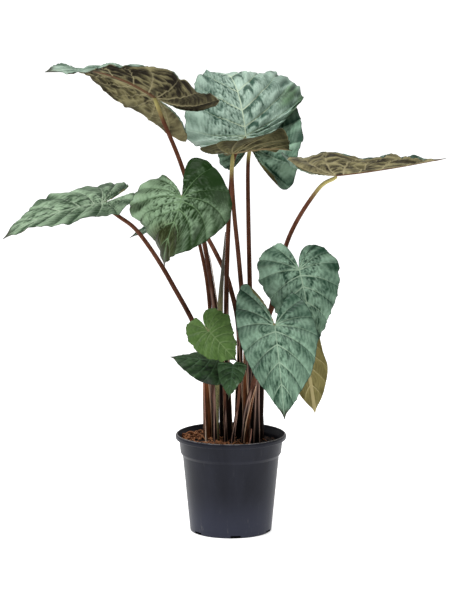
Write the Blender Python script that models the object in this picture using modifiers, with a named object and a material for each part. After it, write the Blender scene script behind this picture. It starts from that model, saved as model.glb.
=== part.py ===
"""Potted alocasia: fourteen waved arrow leaves on tall stalks, in a soil-filled nursery pot.

Metres, +Z up. The origin is the middle of the pot's base, and the plant is seen from -Y.
"""
import math
from dataclasses import dataclass

import bmesh
import bpy
import numpy as np
from mathutils import Vector

# Nursery pot, the common 24 cm size
POT_HEIGHT = 0.213
POT_STEPS = 36
RIM_RADIUS = 0.120
RIM_HEIGHT = 0.011
COLLAR_TOP_RADIUS = 0.1125
COLLAR_FOOT_RADIUS = 0.10925
COLLAR_HEIGHT = 0.041
STEP_HEIGHT = 0.007
WALL_TOP_RADIUS = 0.1045
WALL_FOOT_RADIUS = 0.08875
WALL = 0.0022
FLOOR_HEIGHT = 0.006
PAD_RADIUS = 0.034
NOTCH_COUNT = 6
NOTCH_WIDTH = 0.022
NOTCH_HEIGHT = 0.0055
FIRST_NOTCH = -83.3
DRAIN_RADIUS = 0.006
DRAIN_CIRCLE = 0.060

# Soil and the plain holes that the stalks stand in
GAP = 0.0003
SEAT_GAP = 0.0004
SOIL_TOP = 0.196
SOIL_RINGS = 5
SOIL_RELIEF = 0.0028
HOLE_DEPTH = 0.030
HOLE_SIDES = 12

# Leaf blade mesh: side veins in the back lobe and in the front part of each half
LOBE_VEINS = 3
FRONT_VEINS = 5
STEPS_PER_VEIN = 2
VEIN_BOW = 0.07
VEIN_LEAD = 1.6
MARGIN_LEAD = 0.85
LAST_VEIN_START = 0.93
RIB_THICKNESS = 0.0030
EDGE_THICKNESS = 0.0009
RIB_REACH = 0.30

# Stalks: radius at the foot, half way and below the blade
STALK_RADII = (0.0078, 0.0052, 0.0040)
STALK_TIP_RADIUS = 0.0012
STALK_STEP = 0.058
BEND_STEP = 0.018


@dataclass(frozen=True)
class Leaf:
    """A blade and its stalk. A pair gives the left and the right half, looking to the tip."""
    name: str
    at: tuple
    heading: float
    pitch: float
    length: float
    half: tuple
    lobes: tuple
    foot: tuple
    way: tuple
    roll: float = 0.0
    droop: float = 20.0
    sweep: float = 0.0
    twist: float = 0.0
    late: float = 1.0
    tip: tuple = (0.30, 0.30)
    lobe_drop: tuple = (-5.0, -5.0)
    lobe_gap: tuple = (0.16, 0.16)
    widest: tuple = (0.0, 0.0)
    fold: tuple = (10.0, 10.0)
    curl: tuple = (-15.0, -15.0)
    wave: float = 0.004
    phase: float = 0.0
    quilt: float = 0.004
    stout: float = 1.0
    rings: int = 4


# at: where the stalk meets the blade; heading: the midrib's way there, from +X towards +Y;
# pitch: its rise; roll: lift of the left half; droop, sweep and twist: bend along the midrib,
# the twist coming later with a larger late; half: half widths; widest: how far ahead they lie;
# tip: fullness towards the tip; lobes: reach of the back lobes behind the stalk; foot and way:
# the stalk's place in the soil and the points that it passes. Lengths are metres and angles
# degrees.
LEAVES = (
    Leaf("upper_left", (-0.161, 0.0, 0.942), heading=179, pitch=34, length=0.247, half=(0.099, 0.07),
         lobes=(0.139, 0.128), roll=60, droop=43, sweep=28, twist=-88, late=1.6, lobe_drop=(-32, 30),
         lobe_gap=(0.15, 0.14), widest=(-0.1, 0.19), tip=(0.35, 0.6), fold=(-8, -1), curl=(-25, 12),
         quilt=0.005, foot=(-0.016, 0.026), way=((-0.024, 0.022, 0.39), (-0.058, 0.018, 0.63),
         (-0.104, 0.008, 0.79), (-0.143, -0.008, 0.89))),
    Leaf("top", (0.032, 0.06, 0.855), heading=104, pitch=64, length=0.28, half=(0.13, 0.152),
         lobes=(0.044, 0.029), droop=86, lobe_drop=(-51, -51), lobe_gap=(0.29, 0.06),
         widest=(0.07, 0.41), tip=(0.22, 0.81), fold=(5, 4), curl=(-20, -21), quilt=0.006,
         foot=(-0.006, 0.002), way=((-0.01, 0.004, 0.48), (-0.006, 0.02, 0.65), (0.0, 0.045, 0.751),
         (0.006, 0.062, 0.805))),
    Leaf("top_under", (0.003, 0.02, 0.821), heading=-3, pitch=11, length=0.122, half=(0.029, 0.07),
         lobes=(0.026, 0.082), roll=-14, droop=18, sweep=15, twist=-13, lobe_drop=(-28, -42),
         lobe_gap=(0.09, 0.12), widest=(0.36, 0.62), tip=(0.64, 0.96), fold=(22, 10), curl=(-5, 11),
         wave=0.008, phase=170, quilt=0.002, foot=(0.036, -0.004), way=((0.033, 0.0, 0.396),
         (0.018, -0.004, 0.582), (0.007, -0.008, 0.693), (0.002, 0.008, 0.77)), rings=3),
    Leaf("top_back", (0.041, 0.12, 0.827), heading=81, pitch=46, length=0.227, half=(0.07, 0.124),
         lobes=(0.056, 0.102), roll=-1, droop=56, sweep=-5, twist=1, lobe_drop=(37, 33),
         lobe_gap=(0.34, 0.54), widest=(-0.03, -0.05), tip=(0.3, 0.26), fold=(14, 13), curl=(-15, 6),
         foot=(0.046, 0.022), way=((0.046, 0.03, 0.39), (0.041, 0.055, 0.53), (0.037, 0.114, 0.76))),
    Leaf("right", (0.222, -0.06, 0.783), heading=1, pitch=6, length=0.228, half=(0.095, 0.136),
         lobes=(0.129, 0.11), roll=4, droop=-6, sweep=-2, twist=9, lobe_drop=(-51, -21),
         lobe_gap=(0.16, 0.15), widest=(0.01, -0.11), tip=(0.12, 0.13), fold=(-3, 36), curl=(-10, -18),
         wave=0.006, phase=-64, quilt=0.005, foot=(0.06, 0.004), way=((0.066, 0.014, 0.392),
         (0.087, 0.016, 0.487), (0.123, 0.0, 0.638), (0.183, -0.04, 0.748))),
    Leaf("left", (-0.276, -0.03, 0.72), heading=185, pitch=-7, length=0.218, half=(0.096, 0.11),
         lobes=(0.079, 0.07), roll=-11, droop=26, sweep=4, twist=-8, lobe_drop=(-28, -17),
         lobe_gap=(0.3, 0.26), widest=(0.09, 0.01), tip=(0.33, 0.33), fold=(9, 9), curl=(-18, -19),
         foot=(-0.05, 0.003), way=((-0.06, 0.003, 0.396), (-0.129, 0.0, 0.545), (-0.195, -0.01, 0.65),
         (-0.24, -0.02, 0.69))),
    Leaf("centre_left", (-0.104, -0.1, 0.74), heading=263, pitch=-38, length=0.155, half=(0.117, 0.127),
         lobes=(0.11, 0.079), roll=14, droop=53, sweep=-74, twist=-18, lobe_drop=(-21, -3),
         lobe_gap=(0.02, 0.29), widest=(0.33, -0.11), tip=(0.45, 0.72), fold=(1, 1), curl=(-34, -23),
         foot=(0.018, 0.028), way=((0.018, 0.03, 0.42), (-0.002, 0.032, 0.53), (-0.028, 0.012, 0.597),
         (-0.072, -0.072, 0.69))),
    Leaf("centre_hidden", (-0.089, 0.078, 0.686), heading=182, pitch=-18, length=0.135,
         half=(0.055, 0.045), lobes=(0.04, 0.04), roll=-25, droop=10, quilt=0.002, stout=0.85,
         foot=(-0.037, 0.024), rings=3, way=((-0.046, 0.04, 0.485), (-0.068, 0.056, 0.62))),
    Leaf("front_right", (0.145, -0.08, 0.583), heading=301, pitch=-65, length=0.173, half=(0.081, 0.085),
         lobes=(0.049, 0.065), roll=25, droop=14, sweep=1, twist=7, lobe_drop=(-5, -11),
         lobe_gap=(0.13, 0.2), widest=(0.02, 0.02), tip=(0.25, 0.31), fold=(10, 4), curl=(-12, -16),
         foot=(0.054, -0.02), way=((0.06, -0.02, 0.39), (0.087, -0.015, 0.487), (0.126, -0.032, 0.56))),
    Leaf("front", (0.092, -0.15, 0.476), heading=285, pitch=-65, length=0.194, half=(0.088, 0.08),
         lobes=(0.066, 0.096), roll=17, droop=9, sweep=2, twist=5, lobe_drop=(8, -4),
         lobe_gap=(0.38, 0.48), widest=(0.19, -0.02), tip=(0.35, 0.31), fold=(15, 7), curl=(-11, -18),
         foot=(0.03, -0.034), way=((0.04, -0.05, 0.3), (0.074, -0.105, 0.43))),
    Leaf("back_right", (0.152, 0.02, 0.425), heading=40, pitch=-73, length=0.181, half=(0.058, 0.053),
         lobes=(0.05, 0.05), roll=-28, droop=2, sweep=23, twist=-15, lobe_drop=(0, -4),
         lobe_gap=(0.16, 0.18), widest=(-0.01, -0.1), tip=(0.57, 0.65), fold=(11, -8), curl=(-19, -22),
         quilt=0.001, stout=0.85, foot=(0.066, 0.03), way=((0.066, 0.032, 0.3), (0.083, 0.03, 0.362),
         (0.12, 0.004, 0.4), (0.148, -0.012, 0.418)), rings=3),
    Leaf("young_light", (-0.046, -0.13, 0.46), heading=326, pitch=-40, length=0.083, half=(0.049, 0.049),
         lobes=(0.044, 0.046), roll=55, droop=2, sweep=8, twist=3, lobe_drop=(-22, -9),
         lobe_gap=(0.12, 0.06), widest=(-0.07, 0.07), tip=(0.43, 0.59), fold=(9, 6), curl=(-22, -18),
         wave=0.002, quilt=0.001, stout=0.6, foot=(-0.034, -0.036), way=((-0.038, -0.036, 0.35),
         (-0.041, -0.04, 0.41), (-0.045, -0.085, 0.448)), rings=3),
    Leaf("young_left", (-0.023, -0.09, 0.389), heading=182, pitch=6, length=0.102, half=(0.06, 0.04),
         lobes=(0.013, 0.021), roll=-47, droop=4, sweep=-12, twist=-2, lobe_drop=(-2, -6),
         lobe_gap=(0.13, 0.22), widest=(0.03, -0.02), tip=(0.47, 0.36), fold=(2, -29), curl=(-12, -16),
         wave=0.002, quilt=0.001, stout=0.6, foot=(-0.012, -0.026), rings=3,
         way=((-0.014, -0.05, 0.32),)),
    Leaf("young_centre", (0.004, -0.13, 0.387), heading=248, pitch=-73, length=0.066,
         half=(0.032, 0.035), lobes=(0.008, 0.006), droop=-4, sweep=-4, twist=-2, lobe_gap=(0.14, 0.17),
         widest=(0.01, 0.02), tip=(0.44, 0.4), fold=(10, 8), curl=(-16, -15), wave=0.002, quilt=0.001,
         stout=0.6, foot=(0.004, -0.044), rings=3, way=((0.017, -0.07, 0.31), (0.015, -0.104, 0.362))),
)

# Dry sheaths round the feet of some stalks: leaf, top height, way that they face, half spread
SHEATHS = (
    ("upper_left", 0.600, -10, 70),
    ("left", 0.400, 250, 85),
    ("top", 0.430, 265, 80),
    ("top_under", 0.400, 230, 75),
    ("right", 0.420, 300, 85),
    ("front", 0.330, 330, 80),
    ("centre_left", 0.400, 250, 80),
)
SHEATH_THICKNESS = 0.0008
SHEATH_CLEARANCE = 0.0008
SHEATH_ROWS = 6
SHEATH_COLUMNS = 4

# Rolled young leaf: its path from the soil and the radius along it
SPEAR_PATH = ((-0.031, -0.013), (-0.031, -0.012, 0.321), (-0.023, -0.012, 0.50),
              (-0.018, -0.012, 0.572), (-0.012, -0.012, 0.655))
SPEAR_RADII = (0.0055, 0.0070, 0.0009)

# Pale roots that stand clear of the soil
ROOTS = {
    "root_left": (((-0.054, -0.044), (-0.057, -0.012, 0.30), (-0.0572, -0.0075, 0.325)), 0.0018),
    "root_front": (((0.040, -0.088), (0.0425, -0.082, 0.222), (0.044, -0.074, 0.238)), 0.0018),
}

COLOURS = {
    "pot": ((0.060, 0.068, 0.088), 0.45),
    "soil": ((0.045, 0.028, 0.018), 0.95),
    "leaf": ((0.105, 0.220, 0.150), 0.42),
    "leaf_under": ((0.130, 0.105, 0.045), 0.60),
    "leaf_young": ((0.130, 0.260, 0.075), 0.45),
    "leaf_dark": ((0.035, 0.090, 0.055), 0.45),
    "stalk": ((0.150, 0.050, 0.035), 0.45),
    "spear": ((0.300, 0.270, 0.110), 0.55),
    "sheath": ((0.120, 0.060, 0.040), 0.70),
    "root": ((0.520, 0.400, 0.280), 0.70),
}
LEAF_COLOURS = {
    "upper_left": "leaf_under",
    "top_under": "leaf_under",
    "right": "leaf_under",
    "back_right": "leaf_under",
    "young_light": "leaf_young",
    "young_left": "leaf_dark",
    "young_centre": "leaf_dark",
}


def clear_scene():
    """Removes whatever the file holds, so that the part stands alone."""
    for item in list(bpy.data.objects):
        bpy.data.objects.remove(item, do_unlink=True)


def new_collection(name):
    """Makes a collection in the scene."""
    collection = bpy.data.collections.new(name)
    bpy.context.scene.collection.children.link(collection)
    return collection


def make_material(name):
    """Principled material with a colour and roughness from COLOURS."""
    colour, roughness = COLOURS[name]
    material = bpy.data.materials.new(name)
    material.use_nodes = True
    shader = material.node_tree.nodes["Principled BSDF"]
    shader.inputs["Base Color"].default_value = (*colour, 1.0)
    shader.inputs["Roughness"].default_value = roughness
    shader.inputs["Metallic"].default_value = 0.0
    material.diffuse_color = (*colour, 1.0)
    return material


def add_object(name, data, material, collection):
    """Places new mesh or curve data in a collection, with its material."""
    data.materials.append(material)
    item = bpy.data.objects.new(name, data)
    collection.objects.link(item)
    return item


def add_modifier(item, kind, **settings):
    """Adds a modifier and sets its values."""
    modifier = item.modifiers.new(kind.title(), kind)
    for key, value in settings.items():
        setattr(modifier, key, value)
    return modifier


def apply_modifiers(item):
    """Turns an object's evaluated mesh into its own mesh."""
    graph = bpy.context.evaluated_depsgraph_get()
    mesh = bpy.data.meshes.new_from_object(item.evaluated_get(graph))
    item.modifiers.clear()
    item.data = mesh


def turned(name, profile, steps, material, collection):
    """Turns a profile of (radius, height) points about Z. It runs down the outer side."""
    mesh = bpy.data.meshes.new(name)
    points = [(radius, 0.0, height) for radius, height in profile]
    mesh.from_pydata(points, [(i, i + 1) for i in range(len(points) - 1)], [])
    item = add_object(name, mesh, material, collection)
    add_modifier(item, "SCREW", axis="Z", angle=math.tau, steps=steps, render_steps=steps,
                 use_merge_vertices=True, merge_threshold=0.00005, use_smooth_shade=False)
    return item


def cut(item, cutters):
    """Takes a collection of cutters away from an object, for good."""
    add_modifier(item, "BOOLEAN", operation="DIFFERENCE", operand_type="COLLECTION",
                 collection=cutters, solver="EXACT")
    apply_modifiers(item)


def add_cutter(name, radius, height, centre, sides, cutters):
    """Upright cylinder that cuts a hole."""
    mesh = bpy.data.meshes.new(name)
    work = bmesh.new()
    bmesh.ops.create_cone(work, cap_ends=True, segments=sides, radius1=radius, radius2=radius, depth=height)
    work.to_mesh(mesh)
    work.free()
    return place_cutter(name, mesh, centre, 0.0, cutters)


def place_cutter(name, mesh, centre, turn, cutters):
    """Links a cutter so that it shows as wire and never renders."""
    item = bpy.data.objects.new(name, mesh)
    item.location = centre
    item.rotation_euler = (0.0, 0.0, turn)
    item.hide_render = True
    item.display_type = "WIRE"
    cutters.objects.link(item)
    return item


def pot_outside():
    """Pot's outer profile, down from the lip to the foot ring and in to the middle pad."""
    lip = POT_HEIGHT - RIM_HEIGHT
    collar = POT_HEIGHT - COLLAR_HEIGHT
    return [
        (RIM_RADIUS - 0.0030, POT_HEIGHT),
        (RIM_RADIUS - 0.0008, POT_HEIGHT - 0.0015),
        (RIM_RADIUS, POT_HEIGHT - 0.0040),
        (RIM_RADIUS, lip + 0.0015),
        (RIM_RADIUS - 0.0012, lip),
        (COLLAR_TOP_RADIUS, lip - 0.0006),
        (COLLAR_FOOT_RADIUS, collar),
        (WALL_TOP_RADIUS, collar - STEP_HEIGHT),
        (WALL_FOOT_RADIUS, 0.0025),
        (WALL_FOOT_RADIUS - 0.0012, 0.0),
        (WALL_FOOT_RADIUS - 2.2 * WALL, 0.0),
        (WALL_FOOT_RADIUS - 2.4 * WALL, FLOOR_HEIGHT),
        (PAD_RADIUS, FLOOR_HEIGHT),
        (PAD_RADIUS - 0.002, 0.0),
        (0.0, 0.0),
    ]


def pot_inside():
    """Pot's inner profile, from the middle of the floor out and up to the lip."""
    collar = POT_HEIGHT - COLLAR_HEIGHT
    return [
        (0.0, WALL),
        (PAD_RADIUS - 0.0025, WALL),
        (PAD_RADIUS - 0.0005, FLOOR_HEIGHT + WALL),
        (WALL_FOOT_RADIUS - WALL + 0.0006, FLOOR_HEIGHT + WALL),
        (WALL_TOP_RADIUS - WALL, collar - STEP_HEIGHT),
        (COLLAR_FOOT_RADIUS - WALL, collar + 0.0008),
        (COLLAR_TOP_RADIUS - WALL, POT_HEIGHT - 0.0045),
        (RIM_RADIUS - 0.0070, POT_HEIGHT - 0.0012),
        (RIM_RADIUS - 0.0055, POT_HEIGHT),
    ]


def build_pot(material, parts, cutters):
    """Pot with six notches in its foot ring and a drain hole inside each of them."""
    pot = turned("pot", pot_inside() + pot_outside(), POT_STEPS, material, parts)
    apply_modifiers(pot)
    for i in range(NOTCH_COUNT):
        turn = math.radians(FIRST_NOTCH + i * 360.0 / NOTCH_COUNT)
        way = Vector((math.cos(turn), math.sin(turn), 0.0))
        mesh = bpy.data.meshes.new(f"notch_{i}")
        work = bmesh.new()
        bmesh.ops.create_cube(work, size=1.0)
        bmesh.ops.scale(work, vec=(0.020, NOTCH_WIDTH, 2 * NOTCH_HEIGHT), verts=work.verts)
        work.to_mesh(mesh)
        work.free()
        place_cutter(f"notch_{i}", mesh, way * (WALL_FOOT_RADIUS - 0.003), turn, cutters)
        add_cutter(f"drain_{i}", DRAIN_RADIUS, 4 * WALL, way * DRAIN_CIRCLE + Vector((0, 0, FLOOR_HEIGHT)),
                   HOLE_SIDES, cutters)
    cut(pot, cutters)
    return pot


def soil_relief(x, y):
    """Lumps of the soil's top, from a few crossed waves."""
    large = math.sin(71 * x + 40 * y) + math.sin(93 * y - 52 * x + 1.7)
    small = math.sin(160 * x + 2.1) * math.cos(140 * y)
    return SOIL_RELIEF * (large + small) / 3.0


def build_soil(feet, material, parts, cutters):
    """Soil that fills the pot, with a plain hole for each (x, y, radius) that stands in it."""
    floor = [(max(0.0, r - 2 * GAP), h + GAP) for r, h in pot_inside()[:3]]
    inner = [(r - 2 * GAP, h) for r, h in pot_inside()[4:6]]
    heel = (pot_inside()[3][0] - 2 * GAP, pot_inside()[3][1] + GAP)
    height_share = (SOIL_TOP - inner[-1][1]) / (POT_HEIGHT - 0.0045 - inner[-1][1])
    edge = inner[-1][0] + height_share * (COLLAR_TOP_RADIUS - COLLAR_FOOT_RADIUS)
    top = [(edge * i / SOIL_RINGS, SOIL_TOP) for i in range(SOIL_RINGS + 1)]
    profile = top + inner[::-1] + [heel] + floor[::-1]
    soil = turned("soil", profile, POT_STEPS, material, parts)
    apply_modifiers(soil)
    for vertex in soil.data.vertices:
        if vertex.co.z > SOIL_TOP - GAP:
            vertex.co.z += soil_relief(vertex.co.x, vertex.co.y)
    depth = HOLE_DEPTH + 2 * GAP + 0.02
    for i, (x, y, radius) in enumerate(feet):
        wide = (radius + GAP) / math.cos(math.pi / HOLE_SIDES)
        middle = SOIL_TOP - HOLE_DEPTH - GAP + depth / 2
        add_cutter(f"hole_{i}", wide, depth, (x, y, middle), HOLE_SIDES, cutters)
    cut(soil, cutters)
    return soil


def bezier(points, share):
    """Points of a cubic Bezier at the given shares of it."""
    a, b, c, d = (np.array(p, float) for p in points)
    t = np.asarray(share, float)[:, None]
    return (1 - t) ** 3 * a + 3 * (1 - t) ** 2 * t * b + 3 * (1 - t) * t ** 2 * c + t ** 3 * d


def along_line(points, share):
    """Points at the given shares of a fine line's length."""
    run = np.concatenate([[0.0], np.cumsum(np.linalg.norm(np.diff(points, axis=0), axis=1))])
    want = share * run[-1]
    return np.stack([np.interp(want, run, points[:, i]) for i in range(points.shape[1])], -1)


def flat_margin(leaf, k):
    """Flat margin of one half, (along, across): round the back lobe, then out to the tip."""
    half, lobe, wide = leaf.half[k], leaf.lobes[k], leaf.widest[k] * leaf.length
    inner = leaf.lobe_gap[k] * half
    back = ((-0.78 * lobe, inner), (-1.22 * lobe, inner + 0.16 * half),
            (wide - 0.95 * lobe, half), (wide, half))
    ahead = leaf.length - wide
    front = ((wide, half), (wide + 0.42 * ahead, half),
             (wide + 0.80 * ahead, leaf.tip[k] * half), (leaf.length, 0.0))
    fine = np.linspace(0.0, 1.0, 120)
    lobe_part = along_line(bezier(back, fine), np.linspace(0.0, 1.0, LOBE_VEINS * STEPS_PER_VEIN + 1))
    ahead = np.linspace(0.0, 1.0, FRONT_VEINS * STEPS_PER_VEIN + 1) ** MARGIN_LEAD
    return np.concatenate([lobe_part[:-1], along_line(bezier(front, fine), ahead)])


def flat_grid(leaf, k):
    """Flat grid of one half: rays from the midrib to the margin, bowed as side veins are."""
    margin = flat_margin(leaf, k)
    ray = np.arange(len(margin)) - LOBE_VEINS * STEPS_PER_VEIN
    ahead = np.clip(ray / (FRONT_VEINS * STEPS_PER_VEIN), 0.0, None)
    start = ahead ** VEIN_LEAD * LAST_VEIN_START * leaf.length
    origin = np.stack([start, np.zeros_like(start)], -1)[:, None]
    reach = margin[:, None] - origin
    bow = np.stack([-reach[..., 1], reach[..., 0]], -1) * VEIN_BOW
    bow[-1] = 0.0
    out = np.linspace(0.0, 1.0, leaf.rings + 1)[None, :, None]
    grid = origin + reach * out + bow * 4.0 * out * (1.0 - out)
    grid[..., 1] = np.maximum(grid[..., 1], 0.0)
    return grid, out[..., 0]


def midrib_angles(leaf, k, along):
    """Rise and heading of the midrib's line at a distance along it, in radians."""
    ahead = np.clip(along / leaf.length, 0.0, None)
    behind = np.clip(-along / leaf.lobes[k], 0.0, None)
    rise = np.radians(leaf.pitch - leaf.droop * ahead ** 1.2 + leaf.lobe_drop[k] * behind)
    return rise, np.radians(leaf.heading + leaf.sweep * ahead)


def frame_on_midrib(leaf, k, along):
    """Place on the midrib's line, and the ways to the left and out of the top side there."""
    shares = (np.arange(24) + 0.5) / 24
    rise, turn = midrib_angles(leaf, k, along[..., None] * shares)
    way = np.stack([np.cos(rise) * np.cos(turn), np.cos(rise) * np.sin(turn), np.sin(rise)], -1)
    place = np.array(leaf.at) + way.mean(-2) * along[..., None]
    rise, turn = midrib_angles(leaf, k, along)
    turned = np.clip(along / leaf.length, 0.0, None) ** leaf.late
    roll = np.radians(leaf.roll + leaf.twist * turned)[..., None]
    left = np.stack([-np.sin(turn), np.cos(turn), np.zeros_like(turn)], -1)
    up = np.stack([-np.sin(rise) * np.cos(turn), -np.sin(rise) * np.sin(turn), np.cos(rise)], -1)
    return place, left * np.cos(roll) + up * np.sin(roll), up * np.cos(roll) - left * np.sin(roll)


def blade_half(leaf, k):
    """Top surface of one half, bent into place, quilted between its veins and waved at its edge."""
    grid, out = flat_grid(leaf, k)
    along, across = grid[..., 0], grid[..., 1]
    side = 1.0 if k == 0 else -1.0
    place, left, normal = frame_on_midrib(leaf, k, along)
    fold = math.radians(leaf.fold[k])
    bend = math.radians(leaf.curl[k] or 0.01) / leaf.half[k]
    slope = fold + bend * across
    lateral = (np.sin(slope) - math.sin(fold)) / bend
    lift = (math.cos(fold) - np.cos(slope)) / bend
    surface = place + side * left * lateral[..., None] + normal * lift[..., None]
    facing = normal * np.cos(slope)[..., None] - side * left * np.sin(slope)[..., None]
    return surface + facing * relief(leaf, k, grid, out)[..., None]


def relief(leaf, k, grid, out):
    """Height of the quilting and of the waved edge above the bent sheet."""
    ray = np.arange(len(grid))[:, None]
    share = ray / (len(grid) - 1)
    size = np.linalg.norm(grid - grid[:, :1], axis=-1)
    room = np.clip(size / (0.35 * leaf.half[0]), 0.0, 1.0) * np.clip((1 - share) * 6, 0.0, 1.0)
    puff = 1.6 * np.abs(np.sin(math.pi * ray / STEPS_PER_VEIN)) * out ** 0.7 * (1 - 0.55 * out)
    edge = np.sin(6 * math.pi * share + math.radians(leaf.phase) + 1.9 * k) * out ** 2
    return (leaf.quilt * puff + leaf.wave * edge) * room


def blade_mesh(leaf):
    """Open top surface of a blade in triangles, with a weight that is 1 on the midrib."""
    halves = [blade_half(leaf, k) for k in (0, 1)]
    rays, rings = halves[0].shape[:2]
    lobe_rays = LOBE_VEINS * STEPS_PER_VEIN
    points, weights, index = [], [], {}

    def vertex(k, i, j):
        """Number of a grid point; the halves share the midrib and the ray to the tip."""
        key = (0, max(i, lobe_rays), 0) if j == 0 else (0 if i == rays - 1 else k, i, j)
        if key not in index:
            index[key] = len(points)
            points.append(halves[k][i, j])
            across = j / (rings - 1)
            weights.append(max(0.0, 1.0 - across / RIB_REACH) if i < rays - 1 else 1.0 - across)
        return index[key]

    faces = []
    for k in (0, 1):
        for i in range(rays - 1):
            for j in range(rings - 1):
                a, b = vertex(k, i, j), vertex(k, i + 1, j)
                c, d = vertex(k, i + 1, j + 1), vertex(k, i, j + 1)
                cells = [(a, b, c), (a, c, d)] if (i + j) % 2 else [(a, b, d), (b, c, d)]
                cells = [cell for cell in cells if len(set(cell)) == 3]
                faces += [cell[::-1] for cell in cells] if k else cells
    mesh = bpy.data.meshes.new(f"blade_{leaf.name}")
    mesh.from_pydata(points, [], faces)
    return mesh, weights


def build_blade(leaf, material, parts):
    """Blade: the top surface, thickened downwards, most along the midrib."""
    mesh, weights = blade_mesh(leaf)
    blade = add_object(f"blade_{leaf.name}", mesh, material, parts)
    group = blade.vertex_groups.new(name="rib")
    for number, weight in enumerate(weights):
        group.add([number], weight, "REPLACE")
    add_modifier(blade, "SOLIDIFY", thickness=RIB_THICKNESS, offset=-1.0, vertex_group="rib",
                 thickness_vertex_group=EDGE_THICKNESS / RIB_THICKNESS)
    mesh.shade_smooth()
    return blade


def blade_seat(leaf):
    """Where the stalk ends: under the blade's rib, clear of the halves that hang beside it."""
    place, _, normal = frame_on_midrib(leaf, 0, np.array(0.0))
    way = place - np.array(leaf.way[-1])
    slant = np.linalg.norm(np.cross(way, normal)) / np.linalg.norm(way)
    hang = math.tan(math.radians(max(0.0, -min(leaf.fold))))
    return place - normal * (RIB_THICKNESS + SEAT_GAP + STALK_TIP_RADIUS * (slant + hang))


def smooth_path(points, step):
    """Catmull-Rom line through points, its first stretch kept straight."""
    points = [np.array(p, float) for p in points]
    padded = points + [2 * points[-1] - points[-2]]
    line = [points[0]]
    for i in range(1, len(points) - 1):
        a, b, c, d = padded[i - 1:i + 3]
        count = max(2, round(float(np.linalg.norm(c - b)) / step))
        for t in np.arange(count) / count:
            line.append(0.5 * (2 * b + (c - a) * t + (2 * a - 5 * b + 4 * c - d) * t ** 2
                               + (3 * b - a - 3 * c + d) * t ** 3))
    line.append(points[-1])
    return line


def from_soil(foot):
    """The two points that stand a foot upright in its hole."""
    return [(*foot, SOIL_TOP - HOLE_DEPTH), (*foot, SOIL_TOP + 0.012)]


def stalk_path(leaf):
    """Centre line of a leaf's stalk, from its hole to its seat under the blade."""
    return smooth_path(from_soil(leaf.foot) + list(leaf.way) + [blade_seat(leaf)], STALK_STEP)


def shares_along(line):
    """Share of its length that each point of a line has run."""
    run = np.concatenate([[0.0], np.cumsum(np.linalg.norm(np.diff(line, axis=0), axis=1))])
    return run / run[-1]


def stalk_radius(leaf, share):
    """Radius of a stalk along it, before its pointed top."""
    return float(np.interp(share, (0.0, 0.10, 0.45, 1.0), (STALK_RADII[0], *STALK_RADII))) * leaf.stout


def build_tube(name, line, radii, material, parts, resolution=2):
    """Round rod along a line, with a radius for each point and flat ends."""
    curve = bpy.data.curves.new(name, "CURVE")
    curve.dimensions = "3D"
    curve.bevel_depth = max(radii)
    curve.bevel_resolution = resolution
    curve.use_fill_caps = True
    spline = curve.splines.new("POLY")
    spline.points.add(len(line) - 1)
    for point, place, radius in zip(spline.points, line, radii):
        point.co = (*place, 1.0)
        point.radius = radius / max(radii)
    return add_object(name, curve, material, parts)


def build_stalk(leaf, material, parts):
    """Stalk, tapered, with a short pointed top where it runs into the rib."""
    line = stalk_path(leaf)
    radii = [stalk_radius(leaf, share) for share in shares_along(line)]
    radii[-1] = STALK_TIP_RADIUS
    return build_tube(f"stalk_{leaf.name}", line, radii, material, parts)


def build_sheath(name, leaf, top, facing, spread, material, parts):
    """Thin dry sheath that wraps the front of a stalk's foot and runs up to a point."""
    line = np.array(stalk_path(leaf))
    shares = shares_along(line)
    rows = []
    for row in range(SHEATH_ROWS + 1):
        climb = row / SHEATH_ROWS
        height = SOIL_TOP + 0.008 + climb * (top - SOIL_TOP - 0.008)
        centre = np.array([np.interp(height, line[:, 2], line[:, i]) for i in (0, 1)])
        share = float(np.interp(height, line[:, 2], shares))
        lean = np.array([np.interp(height + 0.01, line[:, 2], line[:, i]) for i in (0, 1)]) - centre
        reach = math.radians(spread) * (1.0 - 0.92 * climb ** 1.6)
        chord = math.cos(reach / SHEATH_COLUMNS)
        radius = (stalk_radius(leaf, share) * math.hypot(1.0, *(lean / 0.01)) + SHEATH_CLEARANCE) / chord
        turns = math.radians(facing) + np.linspace(-reach, reach, SHEATH_COLUMNS + 1)
        rows.append([(*(centre + radius * np.array([math.cos(t), math.sin(t)])), height) for t in turns])
    columns = SHEATH_COLUMNS + 1
    faces = []
    for row in range(SHEATH_ROWS):
        for column in range(SHEATH_COLUMNS):
            a = row * columns + column
            faces += [(a, a + 1, a + columns + 1), (a, a + columns + 1, a + columns)]
    mesh = bpy.data.meshes.new(name)
    mesh.from_pydata([point for row in rows for point in row], [], faces)
    sheath = add_object(name, mesh, material, parts)
    add_modifier(sheath, "SOLIDIFY", thickness=SHEATH_THICKNESS, offset=1.0)
    return sheath


def build_spear(material, parts):
    """Rolled young leaf, thickest above its middle and pointed at the top."""
    line = smooth_path(from_soil(SPEAR_PATH[0]) + list(SPEAR_PATH[1:]), STALK_STEP)
    radii = [float(np.interp(share, (0.0, 0.62, 1.0), SPEAR_RADII)) for share in shares_along(line)]
    return build_tube("spear_rolled", line, radii, material, parts)


def build_root(name, material, parts):
    """Thin pale root that rises from the soil."""
    path, radius = ROOTS[name]
    line = smooth_path(from_soil(path[0]) + list(path[1:]), BEND_STEP)
    radii = [radius * (1.0 - 0.5 * share) for share in shares_along(line)]
    return build_tube(name, line, radii, material, parts, resolution=1)


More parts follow.
